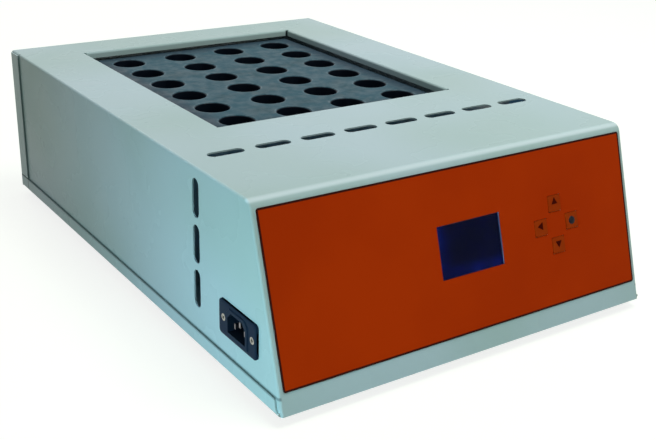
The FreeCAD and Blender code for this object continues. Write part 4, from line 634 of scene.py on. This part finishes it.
@dataclass(frozen=True)
class Winding(Finish):
    """Taped transformer winding, or a shrunk sleeve, with bands round it."""

    colour: Colour
    band: Colour
    pitch: float = 4 * MM
    roughness: float = 0.4

    def lay(self, bench: Bench) -> None:
        """Lays out the nodes.

        Args:
            bench: The material.
        """
        bands = bench.node("ShaderNodeTexWave", {"bands_direction": "Y"}, {
            "Vector": bench.place, "Scale": 0.3 / self.pitch, "Distortion": 0.6}).outputs["Fac"]
        rough = bench.ramp(bench.noise(3 * MM), *NOISE, self.roughness - 0.1, self.roughness + 0.1)
        bench.set(Base_Color=bench.mix(bench.ramp(bands, 0.3, 0.7), self.colour, self.band), Roughness=rough,
                  Normal=bench.bump(bands, 0.1 * MM))


PLAIN_FINISHES: dict[str, Finish] = {
    "plated_steel": Metal(tint(178, 180, 176), tint(150, 150, 140), 0.36, 3 * MM),
    "screw_steel": Metal(tint(188, 186, 178), tint(140, 136, 126), 0.3, 0.6 * MM),
    "stainless": Metal(tint(164, 178, 182), tint(140, 150, 152), 0.34, 0.5 * MM, (20, 20, 1)),
    "cast_plate": Metal(tint(150, 150, 152), tint(110, 108, 106), 0.55, 1.2 * MM, marks=0.1 * MM),
    "element_sheath": Metal(tint(92, 84, 78), tint(60, 52, 50), 0.5, 0.6 * MM),
    "ceramic": Moulding(tint(222, 216, 200), tint(196, 186, 164), 0.6),
    "fibre_board": FibreBoard(),
    "key_cap": Moulding(tint(168, 58, 7), tint(156, 50, 6), 0.42, 0.35 * MM, 0.008 * MM, shine=0.03),
    "clear_window": ClearPane(),
    "display_can": Metal(tint(40, 41, 44), tint(22, 22, 24), 0.5, 0.5 * MM, metallic=0.4),
    "light_guide": Moulding(tint(208, 210, 214), tint(190, 192, 194), 0.4),
    "black_plastic": Moulding(tint(30, 30, 32), tint(46, 45, 44), 0.5),
    "inlet_plastic": Moulding(tint(27, 42, 60), tint(32, 50, 62), 0.34, 0.5 * MM, 0.01 * MM, shine=0.02),
    "contact_metal": Metal(tint(150, 148, 152), tint(120, 112, 108), 0.3, 0.4 * MM),
    "brass": Metal(tint(196, 160, 92), tint(140, 104, 60), 0.3, 0.5 * MM),
    "circuit_board": CircuitBoard(),
    "core_steel": Metal(tint(96, 96, 98), tint(70, 62, 58), 0.5, 0.5 * MM, (12, 12, 1), 0.06 * MM),
    "winding_tape": Winding(tint(206, 168, 60), tint(170, 128, 40)),
    "capacitor_sleeve": Winding(tint(28, 36, 60), tint(190, 196, 200), 22 * MM),
    "white_plastic": Moulding(tint(214, 212, 204), tint(196, 192, 180), 0.45),
    "sink_metal": Metal(tint(120, 122, 126), tint(90, 90, 94), 0.42, 0.4 * MM, (1, 24, 1)),
    "foot_rubber": Moulding(tint(26, 26, 27), tint(48, 46, 44), 0.75, 1.2 * MM, 0.05 * MM, 0.2),
}
ARROW_INK = Moulding(tint(66, 8, 2), tint(80, 14, 3), 0.5, 0.3 * MM, 0.004 * MM, shine=0.02)
DOT_GLOSS = Moulding(tint(18, 18, 30), tint(28, 24, 40), 0.16, 0.5 * MM, 0.004 * MM, shine=0.12)


# ---------------------------------------------------------------- geometry of the frame

@dataclass(frozen=True)
class Panel:
    """The leaning front of the case: its bottom edge, and the directions up its slope and out of it."""

    foot: Vector
    slope: Vector
    outward: Vector

    @classmethod
    def measure(cls) -> "Panel":
        """Finds the leaning front from the keys' travel and the overlay.

        Returns:
            The panel.
        """
        travel = next(joint for joint in frame["joints"] if joint["name"] == "up_press")
        outward = -Vector(travel["axis"]).normalized()
        slope = outward.cross(ACROSS).normalized()
        slope = slope if slope.z > 0 else -slope
        low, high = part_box("panel_overlay")
        top = max((vertex.co for vertex in frame["nodes"]["panel_overlay"].data.vertices),
                  key=lambda point: point.dot(outward))
        foot = top - slope * (top - Vector((0, low.y, low.z))).dot(slope)
        foot.x = (low.x + high.x) / 2
        return cls(foot, slope, outward)

    def matrix(self, point: Vector) -> Matrix:
        """Frame at a point of the panel: X across, Y up the slope, Z out of it.

        Args:
            point: The point.

        Returns:
            The frame as a matrix.
        """
        turn = Matrix((ACROSS, self.slope, self.outward)).transposed().to_4x4()
        return Matrix.Translation(point) @ turn


# ---------------------------------------------------------------- pieces

def placed(name: str, data: bpy.types.ID) -> bpy.types.Object:
    """Puts a new object in the scene.

    Args:
        name: Its name.
        data: Its mesh, lamp or camera.

    Returns:
        The object.
    """
    made = bpy.data.objects.new(name, data)
    bpy.context.scene.collection.objects.link(made)
    return made


class Body(Enum):
    """The moving bodies of the frame that new pieces ride on."""

    CASE = "case"
    UP = "up_button"
    DOWN = "down_button"
    LEFT = "left_button"
    ENTER = "enter_button"


class Piece:
    """A mesh under construction, in the units and place of the frame."""

    def __init__(self, name: str, body: Body, slot: str) -> None:
        """Starts an empty piece.

        Args:
            name: Name of the piece.
            body: What it rides on.
            slot: Material slot of the record, kept on the piece but not used.
        """
        self.name = name
        self.body = body
        self.slot = slot
        self.mesh = bmesh.new()

    def finish(self, material: bpy.types.Material, smooth_below: float = 32.0) -> bpy.types.Object:
        """Turns the mesh into an object that rides on its body.

        Args:
            material: Its material.
            smooth_below: Largest angle, in degrees, across which faces are shaded as one.

        Returns:
            The object.
        """
        bmesh.ops.remove_doubles(self.mesh, verts=self.mesh.verts, dist=MERGE)
        bmesh.ops.recalc_face_normals(self.mesh, faces=self.mesh.faces)
        for face in self.mesh.faces:
            face.smooth = True
        for edge in self.mesh.edges:
            edge.smooth = len(edge.link_faces) == 2 and edge.calc_face_angle(0.0) < math.radians(smooth_below)
        data = bpy.data.meshes.new(self.name)
        self.mesh.to_mesh(data)
        self.mesh.free()
        data.materials.append(material)
        made = placed(self.name, data)
        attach(made, self.body.value)
        LOG.info("%s: %d faces", self.name, len(data.polygons))
        return made


def turned(mesh: bmesh.types.BMesh, profile: list[tuple[float, float]], steps: int,
           place: Matrix) -> list[bmesh.types.BMVert]:
    """Spins a profile about Z.

    Args:
        mesh: Mesh that it goes into.
        profile: Points as radius and height.
        steps: Number of steps round.
        place: Where the turned shape goes.

    Returns:
        Its vertices.
    """
    before = set(mesh.verts)
    points = [mesh.verts.new((radius, 0, height)) for radius, height in profile]
    lines = [mesh.edges.new(pair) for pair in zip(points, points[1:])]
    bmesh.ops.spin(mesh, geom=points + lines, cent=(0, 0, 0), axis=(0, 0, 1), angle=math.tau, steps=steps,
                   use_merge=True)
    made = [vertex for vertex in mesh.verts if vertex not in before]
    bmesh.ops.remove_doubles(mesh, verts=made, dist=MERGE)
    made = [vertex for vertex in mesh.verts if vertex not in before]
    bmesh.ops.transform(mesh, matrix=place, verts=made)
    return made


class Head(Enum):
    """Shapes of a screw's head."""

    PAN = "pan"
    SUNK = "countersunk"


@dataclass
class CrossScrew:
    """A cross-recessed screw. The recess is the reach of an arm of the cross."""

    diameter: float
    shank: float
    head: float
    height: float
    recess: float
    shape: Head = Head.PAN
    steps: int = 24
    tip_taper: float = 0.7
    tip_ratio: float = 0.2
    edge: float = 0.1 * MM
    flat_ratio: float = 1.25
    arm_ratio: float = 0.3
    pit_taper: float = 0.7
    pit_ratio: float = 0.8
    round_off: tuple[tuple[float, float], ...] = ((1.0, 0.25), (0.95, 0.6), (0.8, 0.88))

    def profile(self) -> list[tuple[float, float]]:
        """Half section from the tip to the edge of the flat round the recess.

        Returns:
            Points as radius and height.
        """
        core, radius, rim = self.diameter / 2, self.head / 2, self.recess * self.flat_ratio
        tip = [(0, -self.shank), (core * self.tip_taper, -self.shank),
               (core, -self.shank + self.diameter * self.tip_ratio)]
        if self.shape is Head.SUNK:
            return [*tip, (core, core - radius), (radius, -self.edge), (radius - self.edge, 0), (rim, 0)]
        shoulder = [(radius * wide, self.height * high) for wide, high in self.round_off]
        return [*tip, (core, 0), (radius, 0), *shoulder, (rim, self.height)]

    def cross(self, mesh: bmesh.types.BMesh, level: float) -> list[bmesh.types.BMEdge]:
        """Outline of the recess: a cross of 12 corners with each side cut in two, 24 points in all.

        Args:
            mesh: Mesh that it goes into.
            level: Height of the outline.

        Returns:
            Its edges in order.
        """
        long, short = self.recess, self.recess * self.arm_ratio
        arm = [(long, -short), (long, short), (short, short)]
        turns = [Matrix.Rotation(math.radians(90 * turn), 2) for turn in range(4)]
        corners = [turn @ Vector(point) for turn in turns for point in arm]
        points = []
        for here, there in zip(corners, corners[1:] + corners[:1]):
            points += [here, (here + there) / 2]
        verts = [mesh.verts.new((point.x, point.y, level)) for point in points]
        return [mesh.edges.new(pair) for pair in zip(verts, verts[1:] + verts[:1])]

    def add(self, mesh: bmesh.types.BMesh, place: Matrix) -> None:
        """Adds one screw, with its head on the XY plane of a place, or sunk below it.

        Args:
            mesh: Mesh that it goes into.
            place: Where it goes.
        """
        before = set(mesh.verts)
        profile = self.profile()
        crown = profile[-1][1]
        turned(mesh, profile, self.steps, Matrix.Identity(4))
        ring = [edge for edge in mesh.edges if edge.is_boundary
                and all(vertex not in before and abs(vertex.co.z - crown) < LEVEL for vertex in edge.verts)]
        outline = self.cross(mesh, crown)
        bmesh.ops.bridge_loops(mesh, edges=ring + outline)
        pit = bmesh.ops.extrude_edge_only(mesh, edges=outline)["geom"]
        floor = [item for item in pit if isinstance(item, bmesh.types.BMVert)]
        bmesh.ops.scale(mesh, vec=(self.pit_taper, self.pit_taper, 1), verts=floor)
        bmesh.ops.translate(mesh, vec=(0, 0, -self.height * self.pit_ratio), verts=floor)
        bottom = [item for item in pit if isinstance(item, bmesh.types.BMEdge)]
        bmesh.ops.contextual_create(mesh, geom=bottom)
        made = [vertex for vertex in mesh.verts if vertex not in before]
        bmesh.ops.transform(mesh, matrix=place, verts=made)


@dataclass
class ScrewSet:
    """Cross-recessed screws that stand for the plain ones of a node, on the same grid.

    The ratios are shares of the screw's diameter, and each next screw is turned on by the slack, in degrees.
    """

    node: str
    diameter: float
    outward: Vector
    across: int = 2
    up: int = 2
    head_ratio: float = 2.0
    shape: Head = Head.PAN
    height_ratio: float = 0.55
    recess_ratio: float = 0.52
    slack: float = 37.0

    @property
    def stand(self) -> float:
        """How far a head stands above what it holds."""
        return self.diameter * self.height_ratio if self.shape is Head.PAN else 0.0

    @property
    def normal(self) -> int:
        """Number of the axis that the screws lie along."""
        return max(range(3), key=lambda axis: abs(self.outward[axis]))

    def places(self) -> list[Vector]:
        """Middle of the underside of each head.

        Returns:
            The points.
        """
        low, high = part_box(self.node)
        reach = self.diameter * self.head_ratio / 2
        normal = self.normal
        axes = [axis for axis in range(3) if axis != normal]
        spans = []
        for axis, count in zip(axes, (self.across, self.up)):
            start, length = low[axis] + reach, high[axis] - low[axis] - 2 * reach
            spans.append([start + length * step / max(count - 1, 1) for step in range(count)])
        level = high[normal] - self.stand if self.outward[normal] > 0 else low[normal] + self.stand
        points = []
        for first in spans[0]:
            for second in spans[1]:
                point = Vector((0, 0, 0))
                point[axes[0]], point[axes[1]], point[normal] = first, second, level
                points.append(point)
        return points

    def build(self, material: bpy.types.Material) -> None:
        """Makes the screws as one piece that replaces the node.

        Args:
            material: Their material.
        """
        low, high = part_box(self.node)
        shank = high[self.normal] - low[self.normal] - self.stand
        head, height, recess = (self.diameter * ratio
                                for ratio in (self.head_ratio, self.height_ratio, self.recess_ratio))
        screw = CrossScrew(self.diameter, shank, head, height, recess, self.shape)
        piece = Piece(f"{self.node}_cross", Body.CASE, "screw_steel")
        turn = self.outward.to_track_quat("Z", "Y").to_matrix().to_4x4()
        for number, point in enumerate(self.places()):
            slack = Matrix.Rotation(math.radians(self.slack * number), 4, "Z")
            screw.add(piece.mesh, Matrix.Translation(point) @ turn @ slack)
        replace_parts(piece.finish(material), self.node)


@dataclass
class KeyLegends:
    """Printed arrows on three keys and a domed dot on the fourth.

    The lift is how far up its key an arrow sits, as a share of its size.
    """

    panel: Panel
    arrow: float = 6.2 * MM
    lift: float = 0.2
    ink: float = 0.12 * MM
    dot: float = 6.4 * MM
    dome: float = 0.7 * MM
    steps: int = 32

    def face_of(self, key: str) -> Vector:
        """Middle of a key's outer face.

        Args:
            key: Name of the key's node.

        Returns:
            The point.
        """
        corners = [vertex.co for vertex in frame["nodes"][key].data.vertices]
        top = max(point.dot(self.panel.outward) for point in corners)
        face = [point for point in corners if top - point.dot(self.panel.outward) < FLAT]
        rises = [point.dot(self.panel.slope) for point in face]
        wides = [point.x for point in face]
        middle = Vector(((min(wides) + max(wides)) / 2, 0, 0))
        middle += self.panel.slope * (min(rises) + max(rises)) / 2
        return middle + self.panel.outward * top

    def build_arrow(self, name: str, body: Body, turn: float, material: bpy.types.Material) -> None:
        """Makes one arrow: a low three-sided prism.

        Args:
            name: Name of the key, such as up.
            body: The key's body.
            turn: Turn from pointing up, in degrees.
            material: The ink.
        """
        piece = Piece(f"{name}_arrow", body, "black_plastic")
        radius = self.arrow / math.sqrt(3)
        made = bmesh.ops.create_circle(piece.mesh, cap_ends=True, segments=3, radius=radius)
        bmesh.ops.rotate(piece.mesh, verts=made["verts"], matrix=Matrix.Rotation(math.radians(turn), 3, "Z"))
        solid = bmesh.ops.extrude_face_region(piece.mesh, geom=piece.mesh.faces[:])["geom"]
        lifted = [item for item in solid if isinstance(item, bmesh.types.BMVert)]
        bmesh.ops.translate(piece.mesh, vec=(0, 0, self.ink), verts=lifted)
        place = self.panel.matrix(self.face_of(f"key_{name}") + self.panel.slope * self.arrow * self.lift)
        bmesh.ops.transform(piece.mesh, matrix=place, verts=piece.mesh.verts)
        piece.finish(material)

    def build_dot(self, material: bpy.types.Material) -> None:
        """Makes the domed dot of the fourth key.

        Args:
            material: Its material.
        """
        piece = Piece("enter_dot", Body.ENTER, "display_glass")
        radius = self.dot / 2
        rise = [(radius * math.cos(math.radians(angle)), self.dome * math.sin(math.radians(angle)))
                for angle in range(0, 91, 15)]
        profile = [(0, 0), *rise[:-1], (0, self.dome)]
        turned(piece.mesh, profile, self.steps, self.panel.matrix(self.face_of("key_enter")))
        piece.finish(material, smooth_below=60.0)

    def build(self, ink: bpy.types.Material, gloss: bpy.types.Material) -> None:
        """Makes all four.

        Args:
            ink: Material of the arrows.
            gloss: Material of the dot.
        """
        for name, body, turn in (("up", Body.UP, 0), ("down", Body.DOWN, 180), ("left", Body.LEFT, 90)):
            self.build_arrow(name, body, turn, ink)
        self.build_dot(gloss)


@dataclass
class InletRim:
    """Rounded rim of the flange of the mains inlet.

    A rounded corner dips into the box of the rim by no more than the dip, a share of the corner's radius.
    """

    corner: float = 3.2 * MM
    rise: float = 2.22 * MM
    breadth: float = 2.8 * MM
    bevel: float = 0.6 * MM
    dip: float = 0.3

    def build(self, material: bpy.types.Material) -> None:
        """Makes the rim on the left side of the case, over the edge of the flange.

        Args:
            material: Its material.
        """
        low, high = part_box("inlet_body")
        reach, height = (high.y - low.y) / 2, (high.z - low.z) / 2
        piece = Piece("inlet_rim", Body.CASE, "inlet_plastic")
        mesh = piece.mesh
        bmesh.ops.create_grid(mesh, x_segments=1, y_segments=1, size=1)
        bmesh.ops.scale(mesh, vec=(reach, height, 1), verts=mesh.verts)
        bmesh.ops.bevel(mesh, geom=mesh.verts[:], offset=self.corner, offset_type="OFFSET", affect="VERTICES",
                        segments=6, profile=0.5, material=-1)
        plate = mesh.faces[:]
        bmesh.ops.inset_region(mesh, faces=plate, thickness=self.breadth, use_boundary=True,
                               use_even_offset=True)
        bmesh.ops.delete(mesh, geom=plate, context="FACES")
        raised = bmesh.ops.extrude_face_region(mesh, geom=mesh.faces[:])["geom"]
        bmesh.ops.translate(mesh, vec=(0, 0, self.rise),
                            verts=[item for item in raised if isinstance(item, bmesh.types.BMVert)])
        outer = [edge for edge in mesh.edges if min(vertex.co.z for vertex in edge.verts) > self.rise / 2
                 and any(abs(face.normal.z) < 0.5 for face in edge.link_faces)
                 and all(max(abs(vertex.co.x) - reach, abs(vertex.co.y) - height) > -self.corner * self.dip
                         for vertex in edge.verts)]
        bmesh.ops.bevel(mesh, geom=outer, offset=self.bevel, offset_type="OFFSET", affect="EDGES", segments=2,
                        profile=0.5, material=-1)
        side = Matrix(((0, 0, -1), (-1, 0, 0), (0, 1, 0))).to_4x4()
        middle = Vector((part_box("cover")[0].x, (low.y + high.y) / 2, (low.z + high.z) / 2))
        bmesh.ops.transform(mesh, matrix=Matrix.Translation(middle) @ side, verts=mesh.verts)
        piece.finish(material)


# ---------------------------------------------------------------- the object

class Digester:
    """The finishes of all the frame's nodes, and the pieces that the frame lacks."""

    def __init__(self) -> None:
        """Measures the frame."""
        self.panel = Panel.measure()
        self.materials: dict[str, bpy.types.Material] = {}

    def measured_finishes(self) -> dict[str, Finish]:
        """Finishes that follow the measures of their nodes.

        Returns:
            The finishes by material slot of the record.
        """
        foot, slope = self.panel.foot, self.panel.slope
        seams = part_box("base_tray")[1].z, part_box("rear_panel")[0].y
        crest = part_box("cover")[1].z
        bend = (foot.y + slope.y / slope.z * (crest - foot.z), crest)
        low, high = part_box("panel_overlay")
        rises = [vertex.co.dot(slope) for vertex in frame["nodes"]["panel_overlay"].data.vertices]
        middle = foot + slope * ((min(rises) + max(rises)) / 2 - foot.dot(slope))
        block_low, block_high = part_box("graphite_block")
        pane_low, pane_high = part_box("display_window")
        return {
            "case_paint": PowderCoat(tint(188, 211, 214), tint(176, 202, 196), seams, bend),
            "graphite": Graphite((block_low + block_high) / 2, block_high.z,
                                 tuple((block_high - block_low) / 2)[:2]),
            "panel_print": PanelPrint(middle, slope, (high.x - low.x) / 2, (max(rises) - min(rises)) / 2),
            "display_glass": LiquidCrystal(slope, (pane_low + pane_high) / 2,
                                           (pane_high.x - pane_low.x) / 2, (pane_high.z - pane_low.z) / 2),
        }

    def dress_nodes(self) -> None:
        """Gives every node of the frame the material of its slot."""
        finishes = {**PLAIN_FINISHES, **self.measured_finishes()}
        for row in frame["record"]["subparts"]:
            slot = row["material_slot"]
            if slot not in self.materials:
                self.materials[slot] = finishes[slot].build(f"finish_{slot}")
            data = frame["nodes"][row["node"]].data
            data.materials.clear()
            data.materials.append(self.materials[slot])
            LOG.info("%s: %s", row["node"], slot)

    def add_screws(self) -> None:
        """Replaces the plain screws that can be seen from outside by cross-recessed ones."""
        back, down, left = Vector((0, 1, 0)), Vector((0, 0, -1)), Vector((-1, 0, 0))
        for screws in (ScrewSet("rear_screws", 4 * MM, back), ScrewSet("base_screws", 4 * MM, down, up=3),
                       ScrewSet("foot_screws", 4 * MM, down), ScrewSet("pillar_screws", 4 * MM, down),
                       ScrewSet("sink_screws", 3 * MM, down),
                       ScrewSet("inlet_screws", 3 * MM, left, up=1, head_ratio=5.5 / 3, shape=Head.SUNK)):
            screws.build(self.materials["screw_steel"])

    def build(self) -> None:
        """Dresses the frame and adds the pieces."""
        self.dress_nodes()
        self.add_screws()
        KeyLegends(self.panel).build(ARROW_INK.build("arrow_ink"), DOT_GLOSS.build("dot_gloss"))
        InletRim().build(self.materials["inlet_plastic"])


# ---------------------------------------------------------------- studio

@dataclass
class Lamp:
    """A soft rectangular lamp that looks at a point."""

    name: str
    place: tuple[float, float, float]
    width: float
    height: float
    watts: float
    colour: Colour
    target: tuple[float, float, float] = (0.0, 0.0, 0.1)
    spread: float = 180.0

    def build(self) -> None:
        """Hangs the lamp."""
        data = bpy.data.lights.new(self.name, "AREA")
        data.shape = "RECTANGLE"
        data.size, data.size_y = self.width, self.height
        data.energy = self.watts
        data.color = self.colour
        data.spread = math.radians(self.spread)
        lamp = placed(self.name, data)
        lamp.location = self.place
        lamp.rotation_euler = (Vector(self.target) - Vector(self.place)).to_track_quat("-Z", "Y").to_euler()


LAMPS = (
    Lamp("overhead", (0.3, -0.45, 1.66), 0.8, 0.8, 14.9, (0.98, 0.99, 1.0)),
    Lamp("window", (1.2, 0.5, 1.1), 0.9, 0.7, 2.5, (0.7, 0.97, 1.06)),
    Lamp("inside", (0.0, -0.125, 0.1445), 0.32, 0.12, 0.04, (0.32, 0.72, 1.3), (0.0, -0.125, 0.0)),
    Lamp("rear", (0.05, 1.6, 1.2), 0.5, 0.5, 3.9, (1.0, 0.99, 0.94)),
    Lamp("front", (0.7, -1.7, 0.6), 0.8, 0.6, 1.3, (0.98, 1.0, 0.6)),
    Lamp("left", (-1.2, -0.55, 0.085), 0.5, 0.12, 0.61, (0.58, 0.95, 1.13), (-0.17, -0.35, 0.04), 39.0),
)


@dataclass
class Studio:
    """Pale floor, soft lamps, pale surround and the camera."""

    floor_half: float = 6.0
    room: float = 0.22
    room_tint: Colour = (0.93, 0.97, 1.0)
    floor_tint: Colour = tint(140, 148, 130)
    floor_glow: float = 0.82
    lens: float = 58.08
    sensor: float = 36.0
    camera_place: tuple[float, float, float] = (-0.4880, -0.7637, 0.3970)
    heading: float = 34.30
    pitch: float = -22.37
    roll: float = 1.62

    @staticmethod
    def shown(tree: bpy.types.NodeTree) -> Link:
        """One for rays that come from the camera, straight or by way of metal or glass, nought for others.

        Args:
            tree: Nodes of the material or the world.

        Returns:
            The flag.
        """
        flag = tree.nodes.new("ShaderNodeLightPath").outputs
        value = flag["Is Camera Ray"]
        for name in ("Is Glossy Ray", "Is Transmission Ray"):
            larger = tree.nodes.new("ShaderNodeMath")
            larger.operation = "MAXIMUM"
            tree.links.new(value, larger.inputs[0])
            tree.links.new(flag[name], larger.inputs[1])
            value = larger.outputs[0]
        return value

    def build_floor(self) -> None:
        """Lays the floor."""
        mesh = bmesh.new()
        bmesh.ops.create_grid(mesh, x_segments=1, y_segments=1, size=self.floor_half)
        data = bpy.data.meshes.new("floor")
        mesh.to_mesh(data)
        mesh.free()
        bench = Bench("floor_pale")
        bench.set(Base_Color=self.floor_tint, Roughness=0.9, Specular_IOR_Level=0.2)
        glow = bench.node("ShaderNodeEmission", None, {"Color": WHITE, "Strength": self.floor_glow})
        lit = bench.node("ShaderNodeAddShader", None, {0: bench.shader.outputs[0], 1: glow.outputs[0]})
        chosen = bench.node("ShaderNodeMixShader", None, {
            0: self.shown(bench.tree), 1: bench.shader.outputs[0], 2: lit.outputs[0]})
        bench.feed(bench.tree.nodes["Material Output"].inputs["Surface"], chosen.outputs[0])
        data.materials.append(bench.material)
        floor = placed("floor", data)

    def build_surround(self) -> None:
        """Sets the even light of the room, and the white that is seen behind the object."""
        world = bpy.data.worlds.new("surround")
        bpy.context.scene.world = world
        world.use_nodes = True
        tree = world.node_tree
        room = tree.nodes["Background"]
        room.inputs["Color"].default_value = (*self.room_tint, 1.0)
        room.inputs["Strength"].default_value = self.room
        white = tree.nodes.new("ShaderNodeBackground")
        white.inputs["Color"].default_value = (*WHITE, 1.0)
        white.inputs["Strength"].default_value = 1.0
        mixed = tree.nodes.new("ShaderNodeMixShader")
        tree.links.new(self.shown(tree), mixed.inputs[0])
        tree.links.new(room.outputs[0], mixed.inputs[1])
        tree.links.new(white.outputs[0], mixed.inputs[2])
        tree.links.new(mixed.outputs[0], tree.nodes["World Output"].inputs["Surface"])

    def build_camera(self) -> None:
        """Sets up the camera."""
        data = bpy.data.cameras.new("camera")
        data.lens = self.lens
        data.sensor_width = self.sensor
        data.sensor_fit = "HORIZONTAL"
        camera = placed("camera", data)
        turn = (Matrix.Rotation(math.radians(-self.heading), 4, "Z")
                @ Matrix.Rotation(math.radians(90 + self.pitch), 4, "X")
                @ Matrix.Rotation(math.radians(self.roll), 4, "Z"))
        camera.matrix_world = Matrix.Translation(self.camera_place) @ turn
        bpy.context.scene.camera = camera

    def build(self) -> None:
        """Sets up everything round the object."""
        self.build_floor()
        self.build_surround()
        for lamp in LAMPS:
            lamp.build()
        self.build_camera()


def main() -> None:
    """Builds the studio and the object."""
    logging.basicConfig(level=logging.INFO, format="%(message)s")
    scene = bpy.context.scene
    scene.view_settings.view_transform = "Standard"
    Studio().build()
    Digester().build()


if __name__ == "__main__":
    main()
